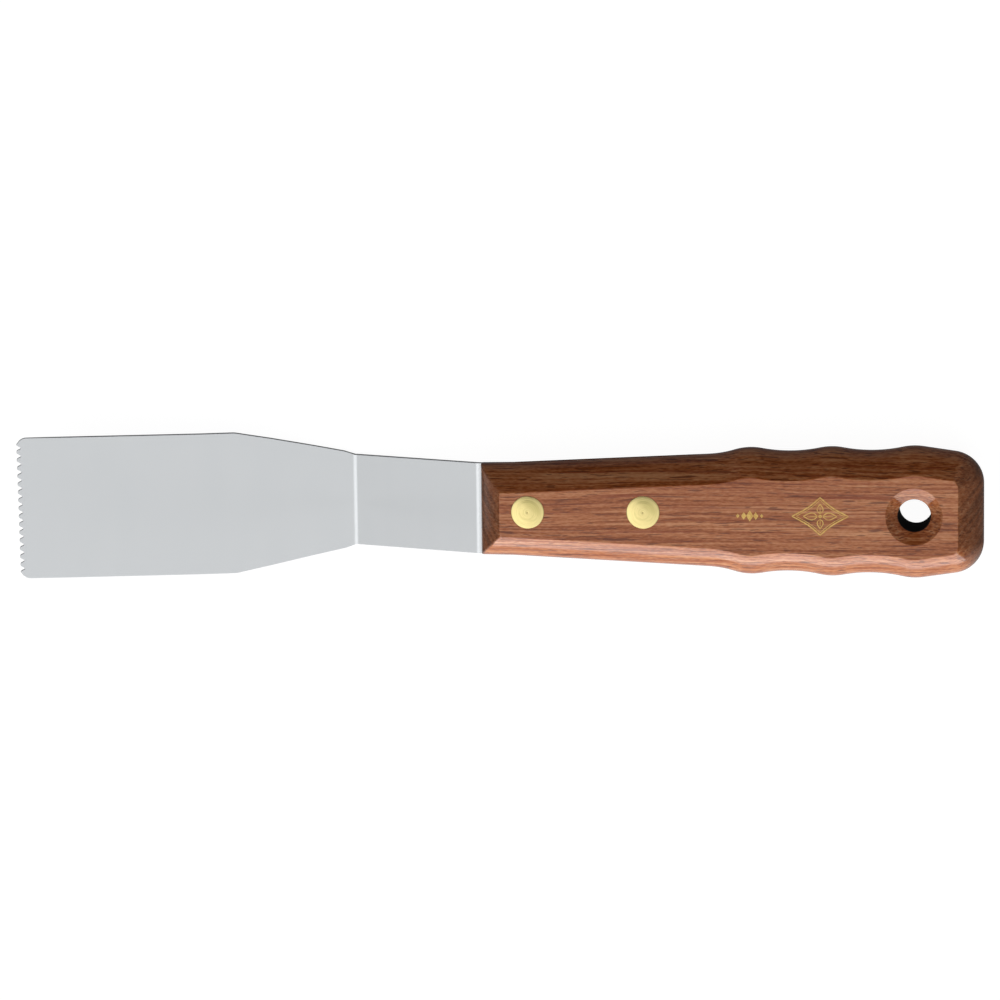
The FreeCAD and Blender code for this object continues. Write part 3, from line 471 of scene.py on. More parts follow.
def side_columns():
    """Columns of the +Y side after the front corner: (kind, data) where at(d) is the plan point at inset d."""
    cols = []

    def line(p, q, n, step, skip=True, extra=()):
        m = max(1, int(round(np.linalg.norm(q - p) / step)))
        ts = sorted(set([k / m for k in range(1 if skip else 0, m + 1)] + list(extra)))
        for s in ts:
            cols.append((p + (q - p) * s, n, 1.0))

    def arc(c, r, p, q, out, step, weight=lambda s: 1.0):
        a0, a1 = math.atan2(*(p - c)[::-1]), math.atan2(*(q - c)[::-1])
        while a1 - a0 > math.pi:
            a1 -= 2 * math.pi
        while a1 - a0 < -math.pi:
            a1 += 2 * math.pi
        m = max(3, int(round(abs(a1 - a0) * r / step)))
        for k in range(1, m + 1):
            a = a0 + (a1 - a0) * k / m
            e = np.array([math.cos(a), math.sin(a)])
            cols.append((c + e * r, e * out, weight(k / m)))

    m1 = unit(n1 + fn)
    cols.append((P1, m1 / (m1 @ n1), 1.0))
    s_k = (KERF_X - P1[0]) / (T0[0] - P1[0])
    if not 0 < s_k < 1:
        raise RuntimeError("the kerf doesn't end on the flare")
    line(P1, T0, fn, 2.0, extra=(s_k,))
    touch = lambda c, r, o: c + unit(o - c) * r
    T1 = touch(SA, RS, C0)
    T2, T3 = touch(SA, RS, C1), touch(SB, RS, C1)
    T4, T5 = touch(SB, RS, C2), touch(SC, RS, C2)
    arc(C0, RB, T0, T1, -1, 0.7)
    arc(SA, RS, T1, T2, 1, 0.7)
    arc(C1, RH, T2, T3, -1, 0.8)
    arc(SB, RS, T3, T4, 1, 0.7)
    arc(C2, RH, T4, T5, -1, 0.8)
    arc(SC, RS, T5, T6, 1, 0.7)
    line(T6, T7, tn, 0.9)
    grow = BEV_TAIL / BEV - 1
    arc(K, RT, T7, np.array([LEN, K[1]]), 1, 0.45, lambda s: 1 + grow * s * s * (3 - 2 * s))
    q = np.array([LEN, K[1]])
    for k in range(1, 7):
        cols.append((q + (np.array([LEN, 0.0]) - q) * k / 6, np.array([1.0, 0.0]), 1 + grow))
    return cols


COLS = side_columns()
RC, FRONT_N, CORNER_N, RUN_N = 0.5, 8, 6, 5


def half_row(d, wide):
    """Plan points, plan normals and inset weights of one row, from the front's middle round +Y to the tail's middle.
    wide says how much more than the other the bevel of this side is cut, at the front and at the tail."""
    wf = BEV_FRONT / BEV
    gain = lambda x_: wide[0] + (wide[1] - wide[0]) * min(1.0, max(0.0, x_ / LEN))
    x0 = wf * d
    cx = x0 + RC
    cy = (P0 @ n1 - d * gain(0) - RC - n1[0] * cx) / n1[1]
    pts, nor, wts = [], [], []
    for k in range(FRONT_N + 1):
        pts.append((x0, cy * k / FRONT_N)); nor.append((-1.0, 0.0)); wts.append(wf)
    a1 = math.atan2(n1[1], n1[0])
    for k in range(1, CORNER_N + 1):
        s = k / CORNER_N
        a = math.pi + (a1 - math.pi) * s
        e = (math.cos(a), math.sin(a))
        pts.append((cx + RC * e[0], cy + RC * e[1])); nor.append(e); wts.append(wf + (gain(0) - wf) * s)
    start = np.array(pts[-1])
    end = COLS[0][0] - COLS[0][1] * d * gain(P1[0])
    for k in range(1, RUN_N):
        p = start + (end - start) * k / RUN_N
        pts.append(tuple(p)); nor.append(tuple(n1)); wts.append(gain(p[0]))
    for p, n, w in COLS:
        w = w * (1 + (gain(p[0]) - 1) * abs(unit(n)[1]))
        q = p - n * d * w
        pts.append(tuple(q)); nor.append(tuple(unit(n))); wts.append(w)
    return pts, nor, wts


def full_row(d):
    p, n, w = half_row(d, (1.09, 1.04))
    p2, n2, w2 = half_row(d, (1.0, 1.0))
    p = [(q[0], q[1] * 0.985) for q in p]
    back = range(len(p) - 2, 0, -1)
    return (p + [(p2[k][0], -p2[k][1]) for k in back],
            n + [(n2[k][0], -n2[k][1]) for k in back],
            w + [w2[k] for k in back])


def profile():
    """(inset, z, tilt of the normal from Z) from the face's edge down to the kerf level."""
    rows = []
    edge_r, t0, t1, run = 0.55, math.radians(39.0), math.radians(50.0), 5.45
    o, z = 0.0, 0.0
    rows.append((o, z, 0.0))
    for k in range(1, 6):
        a = t0 * k / 5
        rows.append((edge_r * math.sin(a), -edge_r * (1 - math.cos(a)), a))
    o, z, _ = rows[-1]
    r = run / (t1 - t0)
    for k in range(1, 7):
        a = t0 + (t1 - t0) * k / 6
        rows.append((o + r * (math.sin(a) - math.sin(t0)), z + r * (math.cos(a) - math.cos(t0)), a))
    o, z, _ = rows[-1]
    left = HALF + z
    r = left / math.cos(t1)
    last = math.acos(KERF_Z / r)
    for k in range(1, 11):
        a = t1 + (last - t1) * k / 10
        rows.append((o + r * (math.sin(a) - math.sin(t1)), z - r * (math.cos(t1) - math.cos(a)), a))
    total = o + r * (1 - math.sin(t1))
    scale = (BEV + 0.12) / total
    return [((total - q) * scale, HALF + w, math.atan2(math.sin(a), math.cos(a) * scale)) for q, w, a in rows]


def ring(b, cx, r, z, seg, cy=0.0):
    return [b.vert(cx + r * math.cos(2 * math.pi * k / seg), cy + r * math.sin(2 * math.pi * k / seg), z) for k in range(seg)]


def round_normals(seg, radial, up):
    return [(radial * math.cos(2 * math.pi * k / seg), radial * math.sin(2 * math.pi * k / seg), up) for k in range(seg)]


def build_handle():
    b = Builder()
    prof = profile()
    halves = []
    for sg in (1, -1):
        rows = []
        for d, z, a in prof:
            p, n, w = full_row(d)
            ids = [b.vert(q[0], q[1], sg * z) for q in p]
            nr = []
            for (nx_, ny_), wk in zip(n, w):
                s, c = math.sin(a), wk * math.cos(a)
                L = math.hypot(s, c)
                nr.append((nx_ * s / L, ny_ * s / L, sg * c / L))
            rows.append((ids, nr))
        for (ia, na), (ib, nb) in zip(rows[:-1], rows[1:]):
            b.band(ia, na, ib, nb)
        up = (0.0, 0.0, float(sg))
        flat = lambda i: b.v[i][:2]
        # countersunk hanging hole
        seg = 72
        slope = math.atan2(SINK_D, SINK_R - HOLE_R)
        soft = 0.28
        sink = []
        for k in range(5):
            a = slope * k / 4
            rr = SINK_R + soft * math.tan(slope / 2) - soft * math.sin(a)
            sink.append((rr, HALF - soft * (1 - math.cos(a)), a))
        low = 0.30
        turn_by = math.pi / 2 - slope
        back = low * math.tan(turn_by / 2)
        for k in range(5):
            a = slope + turn_by * k / 4
            # convex lip where the countersink meets the bore
            cx_, cz_ = HOLE_R + low, HALF - SINK_D - back
            sink.append((cx_ - low * math.sin(a), cz_ + low * (math.cos(a) - 0.0), a))
        z_shift = (HALF - SINK_D + back * math.sin(slope)) - (HALF - SINK_D - back + low * math.cos(slope))
        sink = sink[:5] + [(r_, z_ + z_shift * 1.0, a) for r_, z_, a in sink[5:]]
        circles, prev = [], None
        for r_, z_, a in sink:
            ids = ring(b, HOLE_X, r_, sg * z_, seg)
            nr = round_normals(seg, -math.sin(a), sg * math.cos(a))
            if prev:
                b.band(prev[0], prev[1], ids, nr)
            else:
                top_sink = ids
            prev = (ids, nr)
        bore_row = prev[0]
        # counterbores and shank holes for the rivets
        seats, kerf_holes = [], []
        for cx, cy in RIVETS:
            s2 = 64
            lip = ring(b, cx, 4.045, sg * HALF, s2, cy)
            wall = ring(b, cx, 4.02, sg * (HALF - 0.03), s2, cy)
            foot = ring(b, cx, 4.02, sg * (HALF - 1.3), s2, cy)
            inn = ring(b, cx, 2.55, sg * (HALF - 1.3), s2, cy)
            deep = ring(b, cx, 2.55, sg * KERF_Z, s2, cy)
            n_in = round_normals(s2, -1.0, 0.0)
            n_lip = round_normals(s2, -0.7, 0.7 * sg)
            b.band(lip, n_lip, wall, n_lip)
            b.band(wall, n_in, foot, n_in)
            b.band(foot, [up] * s2, inn, [up] * s2)
            b.band(inn, n_in, deep, n_in)
            seats.append(lip)
            kerf_holes.append(deep)
        b.sheet([rows[0][0], top_sink] + seats, [], flat, lambda i: up)
        halves.append((rows[-1], bore_row, kerf_holes))
    # bore of the hanging hole, in the near-black painted-shade material
    seg = 72
    b.mat = 1
    b.band(halves[0][1], round_normals(seg, -1, 0), halves[1][1], round_normals(seg, -1, 0))
    b.mat = 0
    # solid wood behind the kerf, and the kerf itself
    (ua, una), (la, lna) = halves[0][0], halves[1][0]
    m = len(ua)
    in_kerf = [b.v[i][0] < KERF_X + 0.02 for i in ua]
    for k in range(m):
        j = (k + 1) % m
        if in_kerf[k] and in_kerf[j]:
            continue
        b.face((ua[k], ua[j], la[j], la[k]), (una[k], una[j], lna[j], lna[k]))
    first = [k for k in range(m) if in_kerf[k] and not in_kerf[(k + 1) % m]][0]
    order = [(first - k) % m for k in range(m) if in_kerf[(first - k) % m]]
    # the kerf's closed end is one straight edge from the first to the last of these
    for (ids, holes, sg) in ((ua, halves[0][2], 1), (la, halves[1][2], -1)):
        loop = [ids[k] for k in order]
        b.sheet([loop] + holes, [], lambda i: b.v[i][:2], lambda i: (0.0, 0.0, -float(sg)))
    e0, e1 = order[0], order[-1]
    b.face((ua[e0], ua[e1], la[e1], la[e0]), [(-1.0, 0.0, 0.0)] * 4)
    return b.make("handle_wood", WOOD, BORE_SHADE)


# ------------------------------------------------------------------ blade
MID = [np.array(p) for p in ((-113.4, 3.2), (-32.0, -10.4), (-0.7, 0.0), (52.0, 0.0))]
THK = 0.6
BENDS = (3.6, 2.4)
BW, NW = 17.5, 11.2
leg = [np.linalg.norm(b_ - a_) for a_, b_ in zip(MID[:-1], MID[1:])]
S_HEEL, S_NECK, S_END = leg[0], leg[0] + leg[1], leg[0] + leg[1] + leg[2]
dirs = [unit(b_ - a_) for a_, b_ in zip(MID[:-1], MID[1:])]
ang = [math.atan2(u_[1], u_[0]) for u_ in dirs]


def sheet_at(s):
    """Middle point (x, z) and tilt of the sheet at distance s from the toothed edge."""
    for k, sv in ((0, S_HEEL), (1, S_NECK)):
        dt = ang[k + 1] - ang[k]
        BEND = BENDS[k]
        t = BEND * math.tan(abs(dt) / 2)
        if abs(s - sv) < t:
            f = (s - (sv - t)) / (2 * t)
            v = MID[k + 1]
            p = v - dirs[k] * t
            sgn = 1 if dt > 0 else -1
            c = p + np.array([-dirs[k][1], dirs[k][0]]) * BEND * sgn
            a = ang[k] + dt * f
            return c - np.array([-math.sin(a), math.cos(a)]) * BEND * sgn, a
    if s < S_HEEL:
        return MID[0] + dirs[0] * s, ang[0]
    if s < S_NECK:
        return MID[1] + dirs[1] * (s - S_HEEL), ang[1]
    return MID[2] + dirs[2] * (s - S_NECK), ang[2]


def rounded(points, radii, seg=5):
    """Polygon with its corners rounded; a radius of 0 keeps the corner."""
    out = []
    m = len(points)
    for k in range(m):
        p, q, w = np.array(points[k - 1]), np.array(points[k]), np.array(points[(k + 1) % m])
        r = radii[k]
        if r <= 0:
            out.append(tuple(q))
            continue
        u, v = unit(p - q), unit(w - q)
        half = math.acos(max(-1, min(1, u @ v))) / 2
        t = min(r / math.tan(half), 0.49 * np.linalg.norm(p - q), 0.49 * np.linalg.norm(w - q))
        rr = t * math.tan(half)
        c = q + unit(u + v) * (rr / math.sin(half))
        a0, a1 = math.atan2(*(q + u * t - c)[::-1]), math.atan2(*(q + v * t - c)[::-1])
        while a1 - a0 > math.pi:
            a1 -= 2 * math.pi
        while a1 - a0 < -math.pi:
            a1 += 2 * math.pi
        for j in range(seg + 1):
            a = a0 + (a1 - a0) * j / seg
            out.append((c[0] + rr * math.cos(a), c[1] + rr * math.sin(a)))
    return out


def build_blade():
    b = Builder()
    ca = math.cos(ang[0])
    s_sh = (-61.2 + 113.4) / ca
    bend1 = BENDS[0] * math.tan((ang[1] - ang[0]) / 2)
    bend2 = BENDS[1] * math.tan((ang[1] - ang[2]) / 2)
    stations = [12.0, 24.0, 45.0, 62.0, 74.0]
    stations += [S_HEEL - bend1 + 2 * bend1 * k / 8 for k in range(9)]
    stations += [S_HEEL + 10.0, S_HEEL + 22.0]
    stations += [S_NECK - bend2 + 2 * bend2 * k / 6 for k in range(7)]
    # one side, from the toothed edge back: y as the flat pattern has it
    # the heel's sides are cut a little full
    heel = [(s_sh + f_ * (S_HEEL - s_sh), BW + f_ * (NW - BW) + d_) for f_, d_ in ((0.30, 0.19), (0.62, 0.27), (0.91, 0.33))]
    side = rounded([(0.0, 0.0), (0.0, BW), (s_sh, BW)] + heel + [(S_HEEL, NW), (S_END, NW), (S_END, 0.0)],
                   [0, 2.4, 6.0, 0, 0, 0, 0, 0.5, 0], 9)
    side = side[1:-1]

    def y_at(s):
        for (s0, y0), (s1, y1) in zip(side[:-1], side[1:]):
            if s0 <= s <= s1 and s1 > s0:
                return y0 + (y1 - y0) * (s - s0) / (s1 - s0)
        raise RuntimeError("station %.3f" % s)

    pts = [p for p in side]
    for s in stations:
        if min(abs(p[0] - s) for p in pts if p[1] > 5) > 1e-4:
            pts.append((s, y_at(s)))
    corner = [p for p in pts if p[0] < 2.5 and p[1] > 16.0]  # the last notch runs into the rounded corner
    rest_ = sorted([p for p in pts if p[0] >= 2.5 and p[0] < S_END - 0.55], key=lambda p: p[0])
    tail = [p for p in pts if p[0] >= S_END - 0.55]
    corner.sort(key=lambda p: p[0] + p[1])
    up_side = corner + rest_ + tail
    # the toothed edge: sixteen notches with soft roots and tips, from -Y to +Y
    teeth, rad = [], []
    for k in range(16):
        yc = -15.0 + 2.0 * k
        teeth += [(0.0, yc - 0.62), (0.97, yc - 0.15), (0.97, yc + 0.15), (0.0, yc + 0.62)]
        rad += [0.50, 0.22, 0.22, 0.50]
    edge = rounded([(0.0, -17.2)] + teeth + [(0.0, 17.2), (6.0, 17.2), (6.0, -17.2)], [0] + rad + [0, 0, 0], 6)
    edge = [p for p in edge if p[0] < 1.5 and abs(p[1]) < 16.9]
    loop = [tuple(p) for p in edge] + up_side + [(p[0], -p[1]) for p in reversed(up_side)]
    clean = []
    for p in loop:
        if not clean or math.hypot(p[0] - clean[-1][0], p[1] - clean[-1][1]) > 1e-3:
            clean.append(p)
    loop = np.array(clean)
    area = 0.5 * np.sum(loop[:, 0] * np.roll(loop[:, 1], -1) - np.roll(loop[:, 0], -1) * loop[:, 1])
    e = np.roll(loop, -1, 0) - loop
    e /= np.linalg.norm(e, axis=1, keepdims=True)
    out_e = np.stack([e[:, 1], -e[:, 0]], 1) * (1 if area > 0 else -1)
    nv = out_e + np.roll(out_e, 1, 0)
    nv /= np.linalg.norm(nv, axis=1, keepdims=True)
    mitre = 1.0 / np.clip(np.sum(nv * out_e, 1), 0.5, 1)

    def lift(s, y, h):
        # the toothed edge is cut half a degree out of square
        s -= (0.20 + 0.0100 * y) * min(1.0, max(0.0, 1.0 - s / 9.0))
        (mx, mz), a = sheet_at(s)
        # the wide part stands a little towards -Y, as if the neck had been set by hand
        f = min(1.0, max(0.0, (S_HEEL - 8.0 - s) / 32.0))
        # and is ground thinner over the last twelve millimetres
        h *= 0.42 + 0.58 * min(1.0, max(0.0, s) / 12.0)
        return b.vert(mx - math.sin(a) * h, y - 0.38 * f * f * (3 - 2 * f), mz + math.cos(a) * h)

    def tilt(s, ns, ny, nz):
        _, a = sheet_at(s)
        return (ns * math.cos(a) - nz * math.sin(a), ny, ns * math.sin(a) + nz * math.cos(a))

    soft = 0.11
    steps = [(soft, THK, 0.0), (soft * 0.5, THK - soft * 0.134, 30.0), (soft * 0.134, THK - soft * 0.5, 60.0), (0.0, THK - soft, 90.0)]
    steps += [(d_, -h_, 180.0 - a_) for d_, h_, a_ in reversed(steps)]
    rows = []
    for d_, h_, a_ in steps:
        ids, nr = [], []
        for (s, y), n_, mt in zip(loop, nv, mitre):
            ps, py = s - n_[0] * d_ * mt, y - n_[1] * d_ * mt
            ids.append(lift(ps, py, h_))
            sa, c_ = math.sin(math.radians(a_)), math.cos(math.radians(a_))
            nr.append(tilt(ps, n_[0] * sa, n_[1] * sa, c_))
        rows.append((ids, nr))
    for (ia, na), (ib, nb) in zip(rows[:-1], rows[1:]):
        b.band(ia, na, ib, nb)
    # rivet holes in the tang
    seg = 40
    rims = []
    for h_ in (THK, -THK):
        group = []
        for cx, cy in RIVETS:
            sc = S_NECK + (cx - MID[2][0])
            group.append([lift(sc + 2.7 * math.cos(2 * math.pi * k / seg), cy + 2.7 * math.sin(2 * math.pi * k / seg), h_) for k in range(seg)])
        rims.append(group)
    for g0, g1 in zip(*rims):
        b.band(g0, round_normals(seg, -1, 0), g1, round_normals(seg, -1, 0))
    for row, group, sg in ((rows[0][0], rims[0], 1), (rows[-1][0], rims[1], -1)):
        flat, s_of = {}, {}
        for k, i in enumerate(row):
            flat[i] = tuple(loop[k] - nv[k] * soft * mitre[k])
        for (cx, cy), g in zip(RIVETS, group):
            sc = S_NECK + (cx - MID[2][0])
            for k, i in enumerate(g):
                flat[i] = (sc + 2.7 * math.cos(2 * math.pi * k / seg), cy + 2.7 * math.sin(2 * math.pi * k / seg))
        across = []
        for s in stations:
            hit = [k for k in range(len(loop)) if abs(loop[k][0] - s) < 1e-4 and abs(loop[k][1]) > 5]
            if len(hit) == 2:
                across.append((row[hit[0]], row[hit[1]]))
        b.sheet([row] + group, [], lambda i: flat[i], lambda i: tilt(flat[i][0], 0.0, 0.0, float(sg)), across)
    return b.make("blade_steel", STEEL)


# ------------------------------------------------------------------ rivets
PIP = 0.045


def build_rivet(name, cx, cy, up, mat):
    b = Builder()
    sg = 1.0 if up else -1.0
    hr, dome, hin = 4.0, 0.35, HALF - 1.3
    R = (hr * hr + dome * dome) / (2 * dome)
    zc = HALF + dome - R
    rows = []

    def dome_z(r):
        return zc + math.sqrt(R * R - r * r)

    # centre mark, then the turned dome with fine rings, then a softened rim
    for r in (0.06, 0.14, 0.22, 0.30, 0.37, 0.43, 0.50, 0.56):
        s = max(0.0, min(1.0, (0.44 - r) / 0.36))
        rows.append((r, dome_z(r) - PIP * s * s * (3 - 2 * s)))
    n = 62
    for k in range(1, n + 1):
        r = 0.56 + (3.88 - 0.56) * k / n
        ripple = 0.0032 * math.sin(r * 14.0 + cx) + 0.0022 * math.sin(r * 31.0 + 2 * cx) + 0.0040 * math.sin(r * 5.1 + 0.7 * cx)
        rows.append((r, dome_z(r) + ripple * max(0.0, min(1.0, (3.88 - r) / 0.3))))
    for k in range(1, 6):
        a = math.radians(12 + 78 * k / 5)
        rows.append((3.89 + 0.11 * math.sin(a), dome_z(3.89) - 0.11 * (math.cos(math.radians(12)) - math.cos(a))))
    dome_rows = len(rows)
    rows.append((hr, hin))
    if up:
        zs = -hin + 0.8
        rows += [(1.6, hin), (1.6, zs + 0.15), (1.45, zs)]
        bottom = zs
    else:
        zt = hin - 0.4
        rows += [(2.5, hin), (2.5, -zt + 0.12), (2.38, -zt), (1.77, -zt), (1.65, -zt + 0.12), (1.65, hin)]
        bottom = hin
    seg = 96
    ids = [[b.vert(cx + r * math.cos(2 * math.pi * k / seg), cy + r * math.sin(2 * math.pi * k / seg), sg * z) for k in range(seg)] for r, z in rows]
    pr = np.array(rows)

    def seg_normal(p, q):
        t = q - p
        v = np.array([-t[1], t[0]])
        return v / np.linalg.norm(v)

    segs = [-seg_normal(pr[k + 1], pr[k]) for k in range(len(pr) - 1)]
    for k in range(len(rows) - 1):
        s = segs[k]
        na = nb = s
        if k < dome_rows - 1:
            na = unit(s + segs[k - 1]) if k > 0 else s
            nb = unit(s + segs[k + 1]) if k + 1 < dome_rows - 1 else s
        b.band(ids[k], round_normals2(seg, na, sg), ids[k + 1], round_normals2(seg, nb, sg))
    tip = b.vert(cx, cy, sg * (dome_z(0.0) - PIP))
    for k in range(seg):
        b.face((tip, ids[0][k], ids[0][(k + 1) % seg]), [(0, 0, sg)] * 3)
    end = b.vert(cx, cy, sg * bottom)
    for k in range(seg):
        b.face((end, ids[-1][k], ids[-1][(k + 1) % seg]), [(0, 0, -sg)] * 3)
    return b.make(name, mat)


def round_normals2(seg, n, sg):
    return [(n[0] * math.cos(2 * math.pi * k / seg), n[0] * math.sin(2 * math.pi * k / seg), sg * n[1]) for k in range(seg)]


# ------------------------------------------------------------------ gold-foil ornament
def ribbon(b, pts, width, closed, z0, z1):
    """A flat strip of foil along pts."""
    p = np.array(pts, float)
    m = len(p)
    if closed:
        t = np.roll(p, -1, 0) - np.roll(p, 1, 0)
    else:
        t = np.empty_like(p)
        t[1:-1] = p[2:] - p[:-2]
        t[0], t[-1] = p[1] - p[0], p[-1] - p[-2]
    t /= np.linalg.norm(t, axis=1, keepdims=True)
    n = np.stack([-t[:, 1], t[:, 0]], 1)
    w = np.asarray(width if hasattr(width, "__len__") else [width] * m)[:, None] / 2
    l, r = p + n * w, p - n * w
    lt = [b.vert(q[0], q[1], z1) for q in l]
    rt = [b.vert(q[0], q[1], z1) for q in r]
    lb = [b.vert(q[0], q[1], z0) for q in l]
    rb = [b.vert(q[0], q[1], z0) for q in r]
    up, dn = [(0, 0, 1)] * m, [(0, 0, -1)] * m
    nl = [(q[0], q[1], 0) for q in n]
    nr = [(-q[0], -q[1], 0) for q in n]
    b.band(lt, up, rt, up, closed)
    b.band(lb, dn, rb, dn, closed)
    b.band(lt, nl, lb, nl, closed)
    b.band(rt, nr, rb, nr, closed)
    if not closed:
        for k, s in ((0, -1), (m - 1, 1)):
            q = (t[k][0] * s, t[k][1] * s, 0)
            b.face((lt[k], rt[k], rb[k], lb[k]), [q] * 4)


def plate(b, pts, z0, z1):
    p = np.array(pts, float)
    c = p.mean(0)
    top = [b.vert(q[0], q[1], z1) for q in p]
    bot = [b.vert(q[0], q[1], z0) for q in p]
    b.face(top, [(0, 0, 1)] * len(p))
    b.face(bot, [(0, 0, -1)] * len(p))
    for k in range(len(p)):
        j = (k + 1) % len(p)
        e = (p[k] + p[j]) / 2 - c
        b.face((top[k], top[j], bot[j], bot[k]), [(e[0], e[1], 0)] * 4)


def build_foil():
    b = Builder()
    z0, z1 = HALF - 0.02, HALF + 0.018
    cx, a, h = 83.0, 6.8, 4.6
    # lozenge with gently hollowed sides, drawn as a double line
    for f, w in ((1.0, 0.30), (0.86, 0.14)):
        corners = [(a * f, 0), (0, h * f), (-a * f, 0), (0, -h * f)]
        pts = []
        for k in range(4):
            p, q = np.array(corners[k], float), np.array(corners[(k + 1) % 4], float)
            for j in range(14):
                s = j / 14
                m_ = p + (q - p) * s
                pull = 0.10 * math.sin(math.pi * s)
                pts.append((cx + m_[0] * (1 - pull), m_[1] * (1 - pull)))
        ribbon(b, pts, w, True, z0, z1)
    # four leaves round a small lozenge
    for ux, uy, L, W in ((1, 0, 3.3, 0.95), (-1, 0, 3.3, 0.95), (0, 1, 2.3, 0.80), (0, -1, 2.3, 0.80)):
        rim = []
        for k in range(15):
            s = k / 14
            rim.append((0.75 + L * s, W * math.sin(math.pi * s ** 0.8) * (1 - 0.25 * s)))
        for sgn in (1, -1):
            pts = [(cx + ux * q + -uy * sgn * w_, uy * q + ux * sgn * w_) for q, w_ in rim]
            ribbon(b, pts, 0.22, False, z0, z1)
        vein = [(cx + ux * q, uy * q) for q in np.linspace(0.95, 0.75 + L * 0.72, 8)]
        ribbon(b, vein, list(np.linspace(0.18, 0.08, 8)), False, z0, z1)
    plate(b, [(cx + 0.55, 0), (cx, 0.5), (cx - 0.55, 0), (cx, -0.5)], z0, z1)
    # small row of lozenges in front of it
    for k, (dx, sx, sy) in enumerate(((-2.9, 0.42, 0.55), (-1.45, 0.62, 0.95), (0.0, 0.85, 1.4), (1.45, 0.62, 0.95), (2.9, 0.42, 0.55))):
        c = 66.0 + dx
        plate(b, [(c + sx, 0), (c, sy), (c - sx, 0), (c, -sy)], z0, z1)
    return b.make("foil_ornament", FOIL)


handle = build_handle()
blade = build_blade()
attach(handle, "root"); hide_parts("handle")
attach(blade, "root"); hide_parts("blade")
for where, (cx, cy) in (("front", RIVETS[0]), ("rear", RIVETS[1])):
    for kind, up in (("stud", True), ("tube", False)):
        z = HALF if up else -HALF
        mat = brass_material("turned_brass_%s_%s" % (where, kind), cx * CP + z * SP + SHIFT[0], cy)
        piece = build_rivet("rivet_%s_%s_brass" % (where, kind), cx, cy, up, mat)
        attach(piece, "root"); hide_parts("rivet_%s_%s" % (where, kind))
foil = build_foil()
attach(foil, "root")

# ------------------------------------------------------------------ studio
floor_mat, ft, fb = material("pale_floor")
FN = Nodes(ft)
fb.inputs["Base Color"].default_value = (0.13, 0.13, 0.13, 1)
fb.inputs["Roughness"].default_value = 0.9
fb.inputs["Specular IOR Level"].default_value = 0.0
fb.inputs["Emission Color"].default_value = (1.0, 1.0, 1.0, 1)
fb.inputs["Emission Strength"].default_value = 0.96
me = bpy.data.meshes.new("floor")
W = 12.0
me.from_pydata([(-W, -W, 0), (W, -W, 0), (W, W, 0), (-W, W, 0)], [], [(0, 1, 2, 3)])
me.materials.append(floor_mat)
floor = bpy.data.objects.new("floor", me)
floor.location = (0, 0, -0.00005)
scene.collection.objects.link(floor)
# the floor shows to the camera and takes the shadow, and the studio round it lights the knife
floor.visible_glossy = False
floor.visible_diffuse = False
floor.visible_transmission = False
floor.visible_shadow = False

# pale backdrop round the table, for the camera only
dome_mat, dt, db = material("pale_backdrop")
db.inputs["Base Color"].default_value = (0.0, 0.0, 0.0, 1)
db.inputs["Specular IOR Level"].default_value = 0.0
db.inputs["Emission Color"].default_value = (1.0, 1.0, 1.0, 1)
db.inputs["Emission Strength"].default_value = 0.97
dv, df = [], []
SEG, RINGS, DR = 48, 12, 11.5
for j in range(RINGS):
    e_ = math.radians(-6.0 + 94.0 * j / (RINGS - 1))
    for k in range(SEG):
        a_ = 2 * math.pi * k / SEG
        dv.append((DR * math.cos(e_) * math.cos(a_), DR * math.cos(e_) * math.sin(a_), DR * math.sin(e_)))
for j in range(RINGS - 1):
    for k in range(SEG):
        q_ = (k + 1) % SEG
        df.append((j * SEG + k, (j + 1) * SEG + k, (j + 1) * SEG + q_, j * SEG + q_))
df.append(tuple(range((RINGS - 1) * SEG, RINGS * SEG)))
me = bpy.data.meshes.new("backdrop")
me.from_pydata(dv, [], df)
me.materials.append(dome_mat)
backdrop = bpy.data.objects.new("backdrop", me)
scene.collection.objects.link(backdrop)
backdrop.visible_glossy = False
backdrop.visible_diffuse = False
backdrop.visible_transmission = False
backdrop.visible_shadow = False


def softbox(name, loc, target, sx, sy, radiance, colour=(1, 1, 1)):
    l = bpy.data.lights.new(name, "AREA")
    l.shape = "RECTANGLE"
    l.size, l.size_y = sx, sy
    l.energy = radiance * 4 * sx * sy
    l.color = colour
    o = bpy.data.objects.new(name, l)
    o.location = loc
    d = (Vector(target) - Vector(loc)).normalized()
    o.rotation_mode = "QUATERNION"
    o.rotation_quaternion = d.to_track_quat("-Z", "Y")
    scene.collection.objects.link(o)
    return o


softbox("overhead", (0.15, -0.565, 1.05), (0.15, -0.565, 0.0), 1.80, 1.37, 0.650)
softbox("overhead_far", (-1.20, -0.565, 1.05), (-1.20, -0.565, 0.0), 0.90, 1.37, 0.535)
softbox("overhead_core", (-0.42, -0.25, 1.04), (-0.42, -0.25, 0.0), 0.60, 0.80, 0.34)
key = softbox("key", (0.0, -1.25, 0.08), (0.0, 0.0, 0.08), 2.0, 0.56, 2.10)
key_upper = softbox("key_upper", (0.0, -1.25, 0.83), (0.0, 0.0, 0.83), 2.0, 0.94, 1.90)
key_steel = softbox("key_steel", (0.0, -1.25, 0.55), (0.0, 0.0, 0.55), 2.0, 1.50, 0.66)


def receivers(light, state):
    group = bpy.data.collections.new(light.name + "_receivers")
    group.objects.link(bpy.data.objects["blade_steel"])
    for item in group.collection_objects:
        item.light_linking.link_state = state
    light.light_linking.receiver_collection = group


# the front boxes are dimmer on the steel, so that it doesn't burn out against the pale floor from behind
receivers(key, "EXCLUDE")
receivers(key_upper, "EXCLUDE")
receivers(key_steel, "INCLUDE")

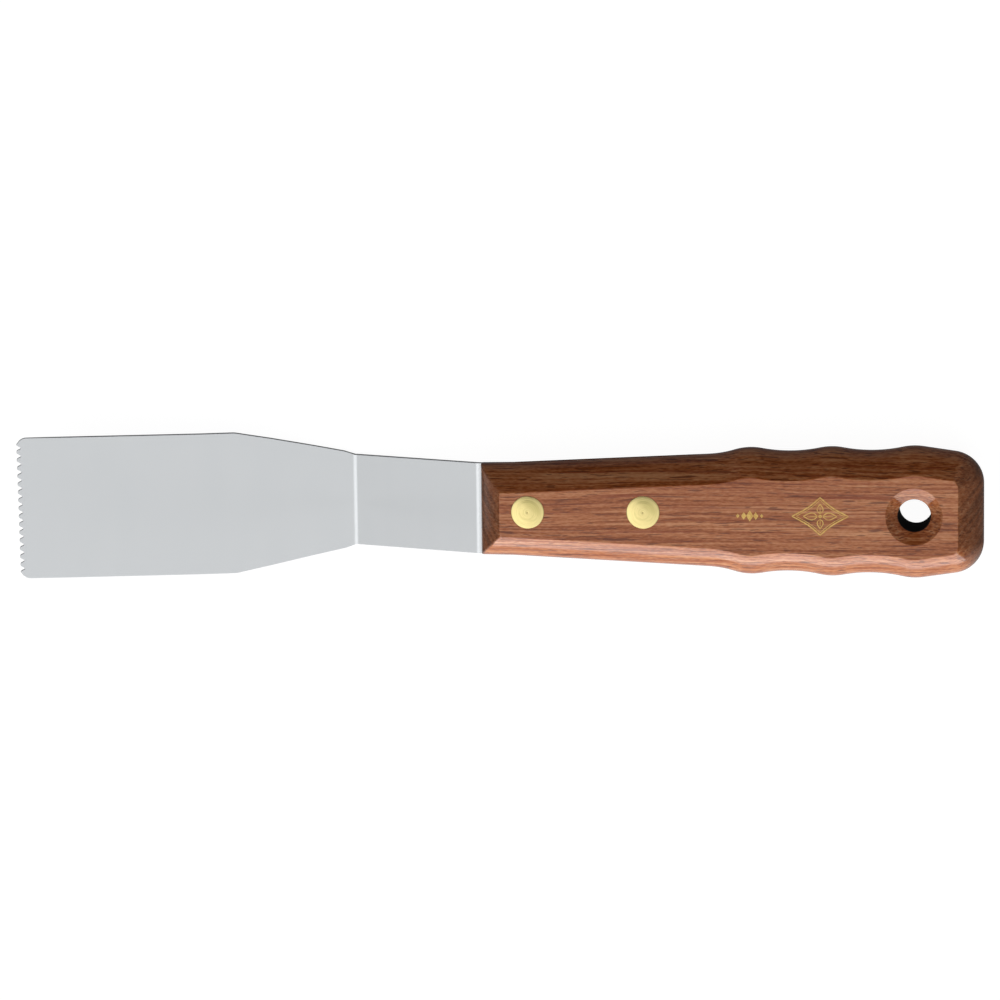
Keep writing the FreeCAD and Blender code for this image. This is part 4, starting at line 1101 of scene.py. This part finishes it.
world = bpy.data.worlds.new("studio")
scene.world = world
world.use_nodes = True
wt = world.node_tree
wt.nodes.clear()
WN = Nodes(wt)
wo = wt.nodes.new("ShaderNodeOutputWorld")
bg = wt.nodes.new("ShaderNodeBackground")
wt.links.new(bg.outputs[0], wo.inputs[0])
# dim room: darkest straight behind the knife, a soft grey round the sides, grey below the table's edge
dx_, dy_, dz_ = WN.split(wt.nodes.new("ShaderNodeTexCoord").outputs["Generated"])
flat_ = WN.math("SQRT", WN.math("MAXIMUM", WN.math("SUBTRACT", 1.0, WN.math("MULTIPLY", dz_, dz_)), 0.0001))
aside = WN.span(WN.math("DIVIDE", WN.math("ABSOLUTE", dx_), flat_), 0.22, 0.55)
above = WN.mix(aside, (0.030, 0.030, 0.030), (0.15, 0.15, 0.15))
back = WN.span(WN.math("DIVIDE", dy_, WN.math("MAXIMUM", dz_, 0.05)), 0.16, 0.34)
top = WN.mix(back, (0.0, 0.0, 0.0), (0.09, 0.09, 0.09))  # the overhead boxes fill the rest of the top
above = WN.mix(WN.span(dz_, 0.62, 0.86), above, top)
below = WN.span(dz_, 0.0, -0.05)
front_side = WN.span(dy_, -0.15, -0.75)
low = WN.mix(front_side, (0.14, 0.14, 0.145), (0.85, 0.85, 0.85))
room = WN.mix(below, above, low)
WN.put(bg.inputs["Color"], room)
bg.inputs["Strength"].default_value = 1.0

# ------------------------------------------------------------------ camera
cam = bpy.data.cameras.new("camera")
cam.sensor_width = 36.0
cam.lens = 234.0
co = bpy.data.objects.new("camera", cam)
scene.collection.objects.link(co)
loc = Vector((0.19001, 0.29605, 1.55376))
tgt = Vector((0.00007, 0.00191, 0.0100))
roll = math.radians(-0.678)
d = (tgt - loc).normalized()
r = d.cross(Vector((0, 1, 0))).normalized()
u = r.cross(d)
r2 = r * math.cos(roll) + u * math.sin(roll)
u2 = -r * math.sin(roll) + u * math.cos(roll)
rot = Matrix((r2, u2, -d)).transposed()
co.matrix_world = Matrix.Translation(loc) @ rot.to_4x4()
cam.clip_start, cam.clip_end = 0.05, 60.0
scene.camera = co

scene.view_settings.view_transform = "Standard"
scene.view_settings.look = "None"
scene.view_settings.exposure = 0.0
scene.view_settings.gamma = 1.0

bpy.context.view_layer.update()
